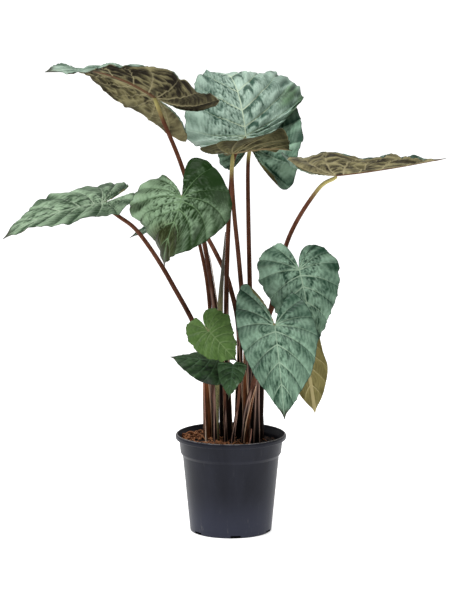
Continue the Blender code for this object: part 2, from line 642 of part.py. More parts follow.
def main():
    """Builds the pot, the soil and every leaf, stalk, sheath and root."""
    clear_scene()
    parts = new_collection("potted_alocasia")
    pot_cutters = new_collection("pot_cutters")
    soil_cutters = new_collection("soil_cutters")
    materials = {name: make_material(name) for name in COLOURS}
    build_pot(materials["pot"], parts, pot_cutters)
    feet = [(*leaf.foot, STALK_RADII[0] * leaf.stout) for leaf in LEAVES]
    feet.append((*SPEAR_PATH[0], SPEAR_RADII[0] * 1.1))
    feet += [(*path[0], radius) for path, radius in ROOTS.values()]
    build_soil(feet, materials["soil"], parts, soil_cutters)
    for leaf in LEAVES:
        build_blade(leaf, materials[LEAF_COLOURS.get(leaf.name, "leaf")], parts)
        build_stalk(leaf, materials["stalk"], parts)
    by_name = {leaf.name: leaf for leaf in LEAVES}
    for name, top, facing, spread in SHEATHS:
        build_sheath(f"sheath_{name}", by_name[name], top, facing, spread, materials["sheath"], parts)
    build_spear(materials["spear"], parts)
    for name in ROOTS:
        build_root(name, materials["root"], parts)


main()
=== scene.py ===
"""Dresses the potted alocasia: quilted leaves, stalks, dry sheaths, soil, pot and a studio round them.

Metres, +Z up, the origin in the middle of the pot's base. The plant is seen from -Y.
"""
import math
import random
from dataclasses import dataclass

import bmesh
import bpy
import numpy as np
from bpy.props import FloatProperty, FloatVectorProperty, IntProperty, PointerProperty
from mathutils import Matrix, Vector, noise


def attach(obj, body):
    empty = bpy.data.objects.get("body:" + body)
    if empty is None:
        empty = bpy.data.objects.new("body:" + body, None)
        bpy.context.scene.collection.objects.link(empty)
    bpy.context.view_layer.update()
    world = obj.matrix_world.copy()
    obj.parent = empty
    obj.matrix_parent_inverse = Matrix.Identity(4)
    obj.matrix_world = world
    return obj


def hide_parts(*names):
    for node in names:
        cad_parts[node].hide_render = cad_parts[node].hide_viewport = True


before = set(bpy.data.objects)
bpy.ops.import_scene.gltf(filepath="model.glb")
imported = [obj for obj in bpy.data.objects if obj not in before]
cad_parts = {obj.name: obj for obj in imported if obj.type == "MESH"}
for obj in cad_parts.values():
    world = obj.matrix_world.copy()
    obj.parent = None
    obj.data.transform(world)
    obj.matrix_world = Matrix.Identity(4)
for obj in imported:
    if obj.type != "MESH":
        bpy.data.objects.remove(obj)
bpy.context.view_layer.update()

bl_info = {
    "name": "Potted alocasia",
    "version": (1, 0, 0),
    "blender": (4, 5, 0),
    "location": "3D View > Sidebar > Alocasia",
    "description": "Builds a tall arrow-leaved alocasia in a nursery pot",
    "category": "Add Mesh",
}

BODY = "root"
TINY = 1e-6

# Side veins on each half of a blade: on the back lobe, ahead of the stalk, and in all. A ray counted
# in side veins has the midrib at its foot from MIDRIB_FROM on.
LOBE_VEINS = 3
FRONT_VEINS = 5
VEINS = LOBE_VEINS + FRONT_VEINS
MIDRIB_FROM = LOBE_VEINS - 0.3

# How far a side vein bows, how the veins crowd on the midrib and on the margin, and the share of the
# midrib where the last one starts; points of a margin's curve and steps along a midrib
VEIN_BOW = 0.07
VEIN_LEAD = 1.6
MARGIN_LEAD = 0.85
LAST_VEIN_START = 0.93
MARGIN_POINTS = 120
MIDRIB_STEPS = 24

# Blades shorter than this get a share of the mesh steps
SMALL_BLADE = 0.15
SMALL_BLADE_STEPS = 0.65

# Small relief: distance from bubble to bubble, where they end and how fast; sizes of the worm-like
# folds, of the streaks and of the soft swells; ripples; width of the painted shade beside a side vein, in
# side veins; side veins where the three values of silvery bloom and painted light hold; groove over the
# midrib
BUBBLE_SPACING = 0.036
BUBBLES_END = 0.090
BUBBLES_FADE = 0.030
WORM_SIZE = 0.0080
STREAK_SIZE = 0.014
SWELL_SIZE = 0.026
RIPPLE_SPACING = 0.0095
RIPPLE_HEIGHT = 0.00035
SHADE_WIDTH = 0.30
BLOOM_AND_LIGHT_AT = (1.0, 4.0, 7.0)
GROOVE_DEPTH = 0.0008
GROOVE_WIDTH = 0.0030

# Radius of the thick place where the stalk joins, and half width of the side veins' ridges below
HUB_SIZE = 0.007
SIDE_RIB_WIDTH = 0.0016

# As in the solids: gap between a stalk and its rib, radius of a stalk's tip, depth of the holes in
# the soil, how far a foot stands upright above it, and the step of the stalks' lines
SEAT_GAP = 0.0004
CAD_TIP_RADIUS = 0.0012
HOLE_DEPTH = 0.030
UPRIGHT = 0.012
PATH_STEP = 0.058

# A dressed stalk ends this deep in the rib and thins out over its last stretch. Its sheath edges
# stand this far round from its front at the soil, meet at a share of its length and are gone a
# little higher.
INTO_RIB = 0.0012
STALK_TAPER = 0.012
STALK_SIDES = 20
WING_OPENING = 62.0
WING_WIDTH = 0.16
WING_HEIGHT = 0.46
WING_GONE = 0.47

# Dry sheaths: mesh steps up and across, height of the foot above the soil's mean, stretch over which
# the stalk's lean is taken, how much of its width a sheath loses to its tip, depth of its ragged
# edge and how far it curls off the stalk, and its thickness as a share of the solid's
SHEATH_STEPS = (46, 18)
SHEATH_LIFT = 0.004
LEAN_STEP = 0.01
SHEATH_NARROWING = 0.92
SHEATH_RAGGED = 0.06
SHEATH_CURL = 0.16
DRESSED_SHEATH = 0.8

# Rolled leaf and roots: foot in the soil, then the points that each passes
SPEAR_PATH = ((-0.031, -0.013), (-0.031, -0.012, 0.321), (-0.023, -0.012, 0.50),
              (-0.018, -0.012, 0.572), (-0.012, -0.012, 0.655))
SPEAR_RADII = (0.0055, 0.0070, 0.0009)
SPEAR_SIDES = 40
SPEAR_STEP = 0.005
ROOTS = {
    "root_left": ((-0.054, -0.044), (-0.057, -0.012, 0.30), (-0.0572, -0.0075, 0.325)),
    "root_front": ((0.040, -0.088), (0.0425, -0.082, 0.222), (0.044, -0.074, 0.238)),
}
ROOT_RADIUS = 0.0018
ROOT_SIDES = 12
ROOT_STEP = 0.003

# Mesh steps round the pot, reach and steps of its rounded corners; its foot notches and drain holes,
# evenly round it from an angle in degrees
POT_STEPS = 120
CORNER_RADIUS = 0.0009
CORNER_STEPS = 3
OPENINGS = 6
FIRST_OPENING = -83.3
NOTCH_SIZE = (0.020, 0.022, 0.011)
DRAIN_AT = 0.060
DRAIN_RADIUS = 0.006

# Soil: gaps between it and the pot, mesh rings and steps round them, depth and size of its finer
# lumps, and the seed of what lies on it
SOIL_OFF_WALL = 0.0006
SOIL_OFF_FLOOR = 0.0003
SOIL_RINGS = 60
SOIL_STEPS = 150
FINE_LUMPS = ((0.0015, 0.009), (0.0009, 0.0035))
SEED = 24

# How far from the soil's edge loose pieces and fibres keep, and how far the pieces tilt, in radians.
# Least and most: sides of a bark chip, radius of a crumb, length and height of a fibre's arch. Then
# how far a chip's corners stray, the same for a crumb as a share of its radius, how far a fibre
# sways, its radius and its steps.
LOOSE_EDGE = 0.005
FIBRE_EDGE = 0.0035
LOOSE_TILT = 0.6
CHIP_SIZES = ((0.006, 0.018), (0.003, 0.007), (0.0014, 0.0032))
CRUMB_RADIUS = (0.0008, 0.0024)
FIBRE_LENGTH = (0.014, 0.044)
FIBRE_ARCH = (0.001, 0.0115)
CHIP_STRAY = 0.0011
CRUMB_STRAY = 0.35
FIBRE_SWAY = 0.008
FIBRE_RADIUS = 0.0014
FIBRE_STEPS = 6


@dataclass(frozen=True)
class Leaf:
    """A blade and its stalk. A pair gives the left and the right half, looking to the tip."""
    name: str
    at: tuple
    heading: float
    pitch: float
    length: float
    half: tuple
    lobes: tuple
    foot: tuple
    way: tuple
    roll: float = 0.0
    droop: float = 20.0
    sweep: float = 0.0
    twist: float = 0.0
    late: float = 1.0
    tip: tuple = (0.30, 0.30)
    lobe_drop: tuple = (-5.0, -5.0)
    lobe_gap: tuple = (0.16, 0.16)
    widest: tuple = (0.0, 0.0)
    fold: tuple = (10.0, 10.0)
    curl: tuple = (-15.0, -15.0)
    wave: float = 0.004
    phase: float = 0.0
    quilt: float = 0.004
    stout: float = 1.0
    blisters: float = 0.0016
    crumple: float = 0.0
    bubbled: tuple = (0.3, 0.3)
    bloom_and_light: tuple = ((0.0, 0.0, 0.0), (0.0, 0.0, 0.0))
    shade: float = 0.3
    stains: tuple = ((), ())
    drip: float = 0.008
    ragged: float = 0.0022
    finish: str = "leaf"
    pale_from: float = 0.93


# at: where the stalk meets the blade; heading: the midrib's way there, from +X towards +Y;
# pitch: its rise; roll: lift of the left half; droop, sweep and twist: bend along the midrib,
# the twist coming later with a larger late; half: half widths; widest: how far ahead they lie;
# tip: fullness towards the tip; lobes: reach of the back lobes behind the stalk; foot and way:
# the stalk's place in the soil and the points that it passes; blisters, crumple and ragged:
# depth of the small relief and of the notches in the margin; bubbled: share of the relief that
# is bubbles; bloom values: silvery bloom on the lobe, middle and tip, together with painted light
# and shade that brightens or darkens those parts; shade: painted shade beyond each side vein, or
# short of it where negative; stains: patches of another colour, each with its place in side veins
# and share of the way to the margin, and its half widths in both; drip: length of the drawn-out
# tip. Lengths are metres and angles degrees.
LEAVES = (
    Leaf("upper_left", (-0.161, 0.0, 0.942), heading=179, pitch=34, length=0.247, half=(0.099, 0.07),
         lobes=(0.139, 0.128), roll=60, droop=43, sweep=28, twist=-88, late=1.6, lobe_drop=(-32, 30),
         lobe_gap=(0.15, 0.14), widest=(-0.1, 0.19), tip=(0.35, 0.6), fold=(-8, -1), curl=(-25, 12),
         quilt=0.005, blisters=0.0008, crumple=0.0045, ragged=0.006, finish="leaf_crumpled",
         bloom_and_light=((0.25, 0.12, 0.15), (-0.12, -0.15, 0.15)),
         foot=(-0.016, 0.026), way=((-0.024, 0.022, 0.39), (-0.058, 0.018, 0.63), (-0.104, 0.008, 0.79),
         (-0.143, -0.008, 0.89))),
    Leaf("top", (0.032, 0.06, 0.855), heading=104, pitch=64, length=0.28, half=(0.13, 0.152),
         lobes=(0.044, 0.029), droop=86, lobe_drop=(-51, -51), lobe_gap=(0.29, 0.06),
         widest=(0.07, 0.41), tip=(0.22, 0.81), fold=(5, 4), curl=(-20, -21), quilt=0.006,
         blisters=0.0044, ragged=0.009, finish="leaf_silver", bubbled=(0.15, 1.0), shade=-0.15,
         bloom_and_light=((1.1, -0.08, 0.0), (0.15, -0.05, 0.1)),
         stains=((), ((3.6, 0.72, 0.55, 0.30), (2.5, 1.0, 1.1, 0.30))), foot=(-0.006, 0.002),
         way=((-0.01, 0.004, 0.48), (-0.006, 0.02, 0.65), (0.0, 0.045, 0.751), (0.006, 0.062, 0.805))),
    Leaf("top_under", (0.003, 0.02, 0.821), heading=-3, pitch=11, length=0.122, half=(0.029, 0.07),
         lobes=(0.026, 0.082), roll=-14, droop=18, sweep=15, twist=-13, lobe_drop=(-28, -42),
         lobe_gap=(0.09, 0.12), widest=(0.36, 0.62), tip=(0.64, 0.96), fold=(22, 10), curl=(-5, 11),
         wave=0.008, phase=170, quilt=0.002, ragged=0.004, finish="leaf_brown", pale_from=0.9,
         foot=(0.036, -0.004), way=((0.033, 0.0, 0.396), (0.018, -0.004, 0.582), (0.007, -0.008, 0.693),
         (0.002, 0.008, 0.77))),
    Leaf("top_back", (0.041, 0.12, 0.827), heading=81, pitch=46, length=0.227, half=(0.07, 0.124),
         lobes=(0.056, 0.102), roll=-1, droop=56, sweep=-5, twist=1, lobe_drop=(37, 33),
         lobe_gap=(0.34, 0.54), widest=(-0.03, -0.05), tip=(0.3, 0.26), fold=(14, 13), curl=(-15, 6),
         blisters=0.0030, ragged=0.005, shade=0.5,
         foot=(0.046, 0.022), way=((0.046, 0.03, 0.39), (0.041, 0.055, 0.53), (0.037, 0.114, 0.76))),
    Leaf("right", (0.222, -0.06, 0.783), heading=1, pitch=6, length=0.228, half=(0.095, 0.136),
         lobes=(0.129, 0.11), roll=4, droop=-6, sweep=-2, twist=9, lobe_drop=(-51, -21),
         lobe_gap=(0.16, 0.15), widest=(0.01, -0.11), tip=(0.12, 0.13), fold=(-3, 36), curl=(-10, -18),
         wave=0.006, phase=-64, quilt=0.005, blisters=0.0006, crumple=0.004, ragged=0.004,
         finish="leaf_crumpled", pale_from=0.86, foot=(0.06, 0.004), way=((0.066, 0.014, 0.392),
         (0.087, 0.016, 0.487), (0.123, 0.0, 0.638), (0.183, -0.04, 0.748))),
    Leaf("left", (-0.276, -0.03, 0.72), heading=185, pitch=-7, length=0.218, half=(0.096, 0.11),
         lobes=(0.079, 0.07), roll=-11, droop=26, sweep=4, twist=-8, lobe_drop=(-28, -17),
         lobe_gap=(0.3, 0.26), widest=(0.09, 0.01), tip=(0.33, 0.33), fold=(9, 9), curl=(-18, -19),
         blisters=0.0034, ragged=0.004, bloom_and_light=((-0.1, -0.08, 0.0), (-0.15, -0.12, 0.0)), shade=0.45,
         finish="leaf_moss", foot=(-0.05, 0.003), way=((-0.06, 0.003, 0.396), (-0.129, 0.0, 0.545),
         (-0.195, -0.01, 0.65), (-0.24, -0.02, 0.69))),
    Leaf("centre_left", (-0.104, -0.1, 0.74), heading=263, pitch=-38, length=0.155, half=(0.117, 0.127),
         lobes=(0.11, 0.079), roll=14, droop=53, sweep=-74, twist=-18, lobe_drop=(-21, -3),
         lobe_gap=(0.02, 0.29), widest=(0.33, -0.11), tip=(0.45, 0.72), fold=(1, 1), curl=(-34, -23),
         blisters=0.0026, ragged=0.005, finish="leaf_green", bubbled=(0.3, 0.0),
         bloom_and_light=((-0.50, -0.18, -0.24), (0.05, 0.12, -0.36)),
         stains=(((6.9, 0.6, 1.5, 1.1),), ((6.8, 0.7, 1.5, 1.1),)), foot=(0.018, 0.028),
         way=((0.018, 0.03, 0.42), (-0.002, 0.032, 0.53), (-0.028, 0.012, 0.597),
         (-0.072, -0.072, 0.69))),
    Leaf("centre_hidden", (-0.089, 0.078, 0.686), heading=182, pitch=-18, length=0.135,
         half=(0.055, 0.045), lobes=(0.04, 0.04), roll=-25, droop=10, quilt=0.002, stout=0.85,
         foot=(-0.037, 0.024), way=((-0.046, 0.04, 0.485), (-0.068, 0.056, 0.62))),
    Leaf("front_right", (0.145, -0.08, 0.583), heading=301, pitch=-65, length=0.173, half=(0.081, 0.085),
         lobes=(0.049, 0.065), roll=25, droop=14, sweep=1, twist=7, lobe_drop=(-5, -11),
         lobe_gap=(0.13, 0.2), widest=(0.02, 0.02), tip=(0.25, 0.31), fold=(10, 4), curl=(-12, -16),
         blisters=0.0022, ragged=0.008, bloom_and_light=((-0.05, -0.01, 0.10), (-0.05, -0.01, 0.10)),
         shade=0.35, foot=(0.054, -0.02),
         way=((0.06, -0.02, 0.39), (0.087, -0.015, 0.487), (0.126, -0.032, 0.56))),
    Leaf("front", (0.092, -0.15, 0.476), heading=285, pitch=-65, length=0.194, half=(0.088, 0.08),
         lobes=(0.066, 0.096), roll=17, droop=9, sweep=2, twist=5, lobe_drop=(8, -4),
         lobe_gap=(0.38, 0.48), widest=(0.19, -0.02), tip=(0.35, 0.31), fold=(15, 7), curl=(-11, -18),
         blisters=0.0012, ragged=0.003, bloom_and_light=((-0.15, 0.04, 0.0), (-0.1, 0.06, 0.0)),
         shade=0.35, foot=(0.03, -0.034),
         way=((0.04, -0.05, 0.3), (0.074, -0.105, 0.43))),
    Leaf("back_right", (0.152, 0.02, 0.425), heading=40, pitch=-73, length=0.181, half=(0.058, 0.053),
         lobes=(0.05, 0.05), roll=-28, droop=2, sweep=23, twist=-15, lobe_drop=(0, -4),
         lobe_gap=(0.16, 0.18), widest=(-0.01, -0.1), tip=(0.57, 0.65), fold=(11, -8), curl=(-19, -22),
         quilt=0.001, stout=0.85, blisters=0.0004, ragged=0.001, finish="leaf_ochre", foot=(0.066, 0.03),
         way=((0.066, 0.032, 0.3), (0.083, 0.03, 0.362), (0.12, 0.004, 0.4), (0.148, -0.012, 0.418))),
    Leaf("young_light", (-0.046, -0.13, 0.46), heading=326, pitch=-40, length=0.083, half=(0.049, 0.049),
         lobes=(0.044, 0.046), roll=55, droop=2, sweep=8, twist=3, lobe_drop=(-22, -9),
         lobe_gap=(0.12, 0.06), widest=(-0.07, 0.07), tip=(0.43, 0.59), fold=(9, 6), curl=(-22, -18),
         wave=0.002, quilt=0.001, stout=0.6, blisters=0.0006, ragged=0.007, finish="leaf_young",
         foot=(-0.034, -0.036), way=((-0.038, -0.036, 0.35), (-0.041, -0.04, 0.41),
         (-0.045, -0.085, 0.448))),
    Leaf("young_left", (-0.023, -0.09, 0.389), heading=182, pitch=6, length=0.102, half=(0.06, 0.04),
         lobes=(0.013, 0.021), roll=-47, droop=4, sweep=-12, twist=-2, lobe_drop=(-2, -6),
         lobe_gap=(0.13, 0.22), widest=(0.03, -0.02), tip=(0.47, 0.36), fold=(2, -29), curl=(-12, -16),
         wave=0.002, quilt=0.001, stout=0.6, blisters=0.0020, ragged=0.001, finish="leaf_dark",
         foot=(-0.012, -0.026), way=((-0.014, -0.05, 0.32),)),
    Leaf("young_centre", (0.004, -0.13, 0.387), heading=248, pitch=-73, length=0.066,
         half=(0.032, 0.035), lobes=(0.008, 0.006), droop=-4, sweep=-4, twist=-2, lobe_gap=(0.14, 0.17),
         widest=(0.01, 0.02), tip=(0.44, 0.4), fold=(10, 8), curl=(-16, -15), wave=0.002, quilt=0.001,
         stout=0.6, blisters=0.0008, ragged=0.001, finish="leaf_dark", foot=(0.004, -0.044),
         bloom_and_light=((0.3, 0.3, 0.3), (0.3, 0.3, 0.3)),
         way=((0.017, -0.07, 0.31), (0.015, -0.104, 0.362))),
)

# Dry sheaths round the feet of some stalks: leaf, top height, way that they face, half spread and
# how orange they are; the least orange are nearly black, partly as painted shade among the stalks
SHEATHS = (
    ("upper_left", 0.600, -10, 70, 0.2),
    ("left", 0.400, 250, 85, 0.9),
    ("top", 0.430, 265, 80, 0.0),
    ("top_under", 0.400, 230, 75, 1.0),
    ("right", 0.420, 300, 85, 0.0),
    ("front", 0.330, 330, 80, 0.7),
    ("centre_left", 0.400, 250, 80, 0.0),
)

# Colours of each leaf finish: raised skin, hollows darkened as painted shade and veins on top; the same and
# the midrib underneath, the deep colour there being painted shade
OLIVE_UNDER = ((0.190, 0.175, 0.070), (0.030, 0.028, 0.009), (0.300, 0.270, 0.130),
               (0.260, 0.200, 0.095))
LEAF_TONES = {
    "leaf": ((0.290, 0.450, 0.325), (0.012, 0.050, 0.026), (0.360, 0.500, 0.360), *OLIVE_UNDER),
    "leaf_silver": ((0.360, 0.490, 0.400), (0.018, 0.066, 0.040), (0.520, 0.620, 0.440), *OLIVE_UNDER),
    "leaf_moss": ((0.310, 0.440, 0.285), (0.012, 0.042, 0.012), (0.380, 0.480, 0.340), *OLIVE_UNDER),
    "leaf_green": ((0.275, 0.405, 0.250), (0.010, 0.032, 0.005), (0.150, 0.245, 0.120), *OLIVE_UNDER),
    "leaf_crumpled": ((0.330, 0.440, 0.350), (0.020, 0.060, 0.034), (0.300, 0.370, 0.260),
                      (0.290, 0.258, 0.130), (0.018, 0.014, 0.008), (0.330, 0.290, 0.165),
                      (0.120, 0.050, 0.026)),
    "leaf_brown": ((0.330, 0.440, 0.350), (0.020, 0.060, 0.034), (0.430, 0.530, 0.370),
                   (0.150, 0.140, 0.064), (0.020, 0.017, 0.006), (0.230, 0.200, 0.100),
                   (0.230, 0.170, 0.085)),
    "leaf_ochre": ((0.130, 0.220, 0.110), (0.050, 0.100, 0.045), (0.300, 0.320, 0.170),
                   (0.285, 0.250, 0.095), (0.130, 0.112, 0.036), (0.480, 0.420, 0.210),
                   (0.460, 0.390, 0.190)),
    "leaf_young": ((0.115, 0.205, 0.055), (0.050, 0.104, 0.022), (0.150, 0.235, 0.085),
                   (0.150, 0.160, 0.070), (0.080, 0.090, 0.036), (0.260, 0.270, 0.130),
                   (0.240, 0.210, 0.100)),
    "leaf_dark": ((0.042, 0.095, 0.034), (0.004, 0.013, 0.004), (0.060, 0.120, 0.060),
                  (0.100, 0.090, 0.050), (0.040, 0.036, 0.018), (0.200, 0.180, 0.110),
                  (0.160, 0.110, 0.070)),
}

# Top sides that shine less than the others, and the colours of the patches on top sides
TOP_GLOSS = {"leaf_green_top": 0.08}
STAIN_COLOURS = {"leaf_silver_top": (0.095, 0.215, 0.085), "leaf_green_top": (0.082, 0.098, 0.026)}


def size_prop(name, description, default):
    """Length in metres that a user may change."""
    return FloatProperty(name=name, description=description, default=default, min=0.0, precision=5,
                         unit="LENGTH", subtype="DISTANCE")


def colour_prop(name, description, default):
    """Colour that a user may change."""
    return FloatVectorProperty(name=name, description=description, default=default, size=3,
                               min=0.0, max=1.0, subtype="COLOR")


def count_prop(name, description, default):
    """Number of like things."""
    return IntProperty(name=name, description=description, default=default, min=0)


class PotSettings(bpy.types.PropertyGroup):
    """Sizes and colour of the nursery pot."""
    height: size_prop("Height", "Pot height to the lip", 0.213)
    rim_radius: size_prop("Rim radius", "Outer radius of the rolled rim", 0.120)
    rim_height: size_prop("Rim height", "Height of the rim's outer band", 0.011)
    collar_top: size_prop("Collar radius", "Outer radius of the collar under the rim", 0.1125)
    collar_foot: size_prop("Collar foot radius", "Outer radius at the collar's foot", 0.10925)
    collar_height: size_prop("Collar height", "Rim and collar height together", 0.041)
    step_height: size_prop("Step height", "Height of the step under the collar", 0.007)
    wall_top: size_prop("Wall radius", "Outer radius under the collar's step", 0.1045)
    wall_foot: size_prop("Foot radius", "Outer radius at the foot", 0.08875)
    wall: size_prop("Wall", "Thickness of the wall", 0.0022)
    floor: size_prop("Floor height", "Height of the floor's underside", 0.006)
    pad: size_prop("Pad radius", "Radius of the middle pad under the floor", 0.034)
    colour: colour_prop("Colour", "Slate-coloured plastic", (0.0068, 0.0078, 0.0142))


class SoilSettings(bpy.types.PropertyGroup):
    """Heights and contents of the soil."""
    top: size_prop("Soil height", "Mean height of the soil's top", 0.196)
    radius: size_prop("Soil radius", "Radius of the soil's top", 0.1088)
    relief: size_prop("Relief", "Depth of the soil's large lumps", 0.0028)
    chips: count_prop("Bark chips", "Number of bark chips on the soil", 260)
    crumbs: count_prop("Crumbs", "Number of loose soil crumbs", 700)
    fibres: count_prop("Fibres", "Number of root and coir fibres", 150)
    grains: count_prop("Perlite", "Number of white perlite grains", 60)
    colour: colour_prop("Colour", "Moist potting soil", (0.005, 0.003, 0.0025))


class LeafSettings(bpy.types.PropertyGroup):
    """Sizes that all blades share."""
    edge: size_prop("Edge thickness", "Thickness of the blade at its margin", 0.0009)
    rib: size_prop("Rib thickness", "Thickness of the blade at its midrib", 0.0030)
    rib_width: size_prop("Rib width", "Half width of the midrib's ridge", 0.0042)
    steps: count_prop("Steps per vein", "Mesh steps from one side vein to the next", 15)
    rings: count_prop("Rings", "Mesh steps from the midrib to the margin", 56)
    spacing: size_prop("Small vein spacing", "Distance between the small cross veins", 0.0080)


class StalkSettings(bpy.types.PropertyGroup):
    """Sizes and colours of the stalks, the rolled leaf and the roots."""
    foot: size_prop("Foot radius", "Radius of a full-grown stalk at the soil", 0.0078)
    middle: size_prop("Middle radius", "Radius half way up", 0.0052)
    top: size_prop("Top radius", "Radius below the blade", 0.0040)
    step: size_prop("Ring spacing", "Distance between the mesh rings", 0.006)
    # Foot colour: the stalk's purple-brown, darkened to near black as painted shade among the stalks
    dark: colour_prop("Foot colour", "Purple-brown near the soil", (0.004, 0.002, 0.0015))
    red: colour_prop("Middle colour", "Red-brown higher up", (0.082, 0.028, 0.013))
    pale: colour_prop("Top colour", "Yellow-green under the blade", (0.480, 0.420, 0.160))


class SheathSettings(bpy.types.PropertyGroup):
    """Sizes and colours of the dry sheaths."""
    thickness: size_prop("Thickness", "Thickness of a sheath", 0.0008)
    clearance: size_prop("Clearance", "Gap between a sheath and its stalk", 0.0008)
    brown: colour_prop("Brown", "Dry middle of a sheath", (0.036, 0.013, 0.006))
    pale: colour_prop("Pale edge", "Papery edge of a sheath", (0.640, 0.440, 0.300))


class StageSettings(bpy.types.PropertyGroup):
    """Camera, floor and lights."""
    distance: size_prop("Distance", "Camera distance in front of the pot's axis", 6.0)
    height: size_prop("Camera height", "Camera height above the floor", 1.488)
    aside: FloatProperty(name="Aside", description="Camera offset to the right", default=-0.0128,
                         unit="LENGTH", subtype="DISTANCE")
    tilt: FloatProperty(name="Tilt", description="How far the camera looks down", default=math.radians(9.3),
                        unit="ROTATION", subtype="ANGLE")
    lens: FloatProperty(name="Lens", description="Focal length for a 36 mm long side", default=169.5,
                        unit="CAMERA")
    floor: colour_prop("Floor", "Pale studio floor", (0.90, 0.90, 0.90))


class Socket:
    """An output socket that takes part in sums; each sum adds its Math node."""

    def __init__(self, nodes, socket):
        self.nodes = nodes
        self.socket = socket

    def math(self, operation, *values):
        """Math node on values, which are sockets or numbers."""
        return self.nodes.node("ShaderNodeMath", {"operation": operation}, dict(enumerate(values)))

    def __add__(self, other):
        return self.math("ADD", self, other)

    __radd__ = __add__

    def __sub__(self, other):
        return self.math("SUBTRACT", self, other)

    def __rsub__(self, other):
        return self.math("SUBTRACT", other, self)

    def __mul__(self, other):
        return self.math("MULTIPLY", self, other)

    __rmul__ = __mul__

    def __truediv__(self, other):
        return self.math("DIVIDE", self, other)

    def __rtruediv__(self, other):
        return self.math("DIVIDE", other, self)

    def __abs__(self):
        return self.math("ABSOLUTE", self)

    def fraction(self):
        """Part after the point."""
        return self.math("FRACT", self)

    def larger(self, other):
        """The larger of two values."""
        return self.math("MAXIMUM", self, other)

    def ramp(self, low, high):
        """Smooth 0 to 1 between two values, or 1 to 0 where low is the larger."""
        first, last = (low, high) if low < high else (high, low)
        settings = {"interpolation_type": "SMOOTHSTEP", "clamp": True}
        made = self.nodes.node("ShaderNodeMapRange", settings, {0: self, 1: first, 2: last})
        return made if low < high else 1.0 - made


class Nodes:
    """A node tree that grows by expressions on its sockets."""

    def __init__(self, tree):
        self.tree = tree

    def put(self, socket, value):
        """Sets an input socket to a number, a vector or a colour, or links another socket to it."""
        if isinstance(value, Socket):
            self.tree.links.new(value.socket, socket)
        else:
            socket.default_value = (*value, 1.0) if socket.type == "RGBA" else value

    def node(self, kind, settings=None, values=None, output=0):
        """Adds a node, sets it up, feeds its sockets and gives one of its outputs."""
        made = self.tree.nodes.new(kind)
        for name, value in (settings or {}).items():
            setattr(made, name, value)
        for key, value in (values or {}).items():
            self.put(made.inputs[key], value)
        return Socket(self, made.outputs[output])


class Finish(Nodes):
    """A material on one Principled shader."""

    def __init__(self, name, **constants):
        self.material = bpy.data.materials.new(name)
        self.material.use_nodes = True
        super().__init__(self.material.node_tree)
        self.feed(**constants)

    def feed(self, **values):
        """Sets the Principled shader's sockets, or links values to them."""
        inputs = self.tree.nodes["Principled BSDF"].inputs
        for key, value in values.items():
            self.put(inputs[key.replace("_", " ").title().replace("Ior", "IOR")], value)

    def cover(self, colour, roughness, height, depth, strength):
        """Feeds the shader colour, roughness and a bump of a height, and gives the material."""
        values = {"Height": height, "Distance": depth, "Strength": strength}
        self.feed(base_color=colour, roughness=roughness, normal=self.node("ShaderNodeBump", None, values))
        return self.material

    def attribute(self, name):
        """Value that the mesh carries at its points."""
        return self.node("ShaderNodeAttribute", {"attribute_name": name}, output="Fac")

    def place(self):
        """Place on the piece, in metres."""
        return self.node("ShaderNodeTexCoord", output="Object")

    def stretched(self, scale):
        """Place scaled by axis, for grain that runs one way."""
        return self.node("ShaderNodeVectorMath", {"operation": "MULTIPLY"}, {0: self.place(), 1: scale})

    def length(self, vector):
        """Length of a vector."""
        return self.node("ShaderNodeVectorMath", {"operation": "LENGTH"}, {0: vector}, "Value")

    def speckle(self, scale, detail, roughness, distortion=0.0):
        """Noise between 0 and 1, at one scale or at a scale for each axis."""
        stretch = isinstance(scale, tuple)
        values = {"Vector": self.stretched(scale) if stretch else self.place(),
                  "Scale": 1.0 if stretch else scale,
                  "Detail": detail, "Roughness": roughness, "Distortion": distortion}
        return self.node("ShaderNodeTexNoise", None, values)

    def mix(self, share, first, second):
        """Colour between two colours."""
        values = {"Factor": share, 6: first, 7: second}
        return self.node("ShaderNodeMix", {"data_type": "RGBA"}, values, output=2)


def times(colour, factor, more=0.0):
    """Colour multiplied, with a little added."""
    return tuple(factor * part + more for part in colour)


def add_object(name, data):
    """Puts a new object into the scene."""
    item = bpy.data.objects.new(name, data)
    bpy.context.scene.collection.objects.link(item)
    return item


def new_object(name, data, materials, node):
    """Places a finished piece on the pot's body, with its materials and what it stands for."""
    for material in materials:
        data.materials.append(material)
    item = add_object(name, data)
    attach(item, BODY)
    if node:
        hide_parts(node)
    return item


def new_mesh(name, points, faces):
    """Mesh of points and faces."""
    mesh = bpy.data.meshes.new(name)
    mesh.from_pydata(np.asarray(points).tolist(), [], faces)
    return mesh


def mesh_of(work, name):
    """Mesh of a finished bmesh."""
    mesh = bpy.data.meshes.new(name)
    work.to_mesh(mesh)
    work.free()
    return mesh


def modify(item, kind, **settings):
    """Gives an object one modifier and turns the result into its own mesh."""
    made = item.modifiers.new(kind.title(), kind)
    for name, value in settings.items():
        setattr(made, name, value)
    graph = bpy.context.evaluated_depsgraph_get()
    mesh = bpy.data.meshes.new_from_object(item.evaluated_get(graph))
    item.modifiers.clear()
    item.data = mesh


def smooth_but_sharp(mesh, degrees):
    """Shades a mesh smooth, with sharp edges where it turns more."""
    mesh.shade_smooth()
    mesh.set_sharp_from_angle(angle=math.radians(degrees))


def grid_faces(rows, wide, columns):
    """Faces between rows of points; with as many columns of faces as points, it closes round."""
    return [(r * wide + c, r * wide + (c + 1) % wide, (r + 1) * wide + (c + 1) % wide, (r + 1) * wide + c)
            for r in range(rows - 1) for c in range(columns)]


def write_values(mesh, **values):
    """Gives a mesh named values at its points, which its material reads."""
    for name, numbers in values.items():
        layer = mesh.attributes.new(name, "FLOAT", "POINT")
        layer.data.foreach_set("value", np.asarray(numbers, np.float32).ravel())


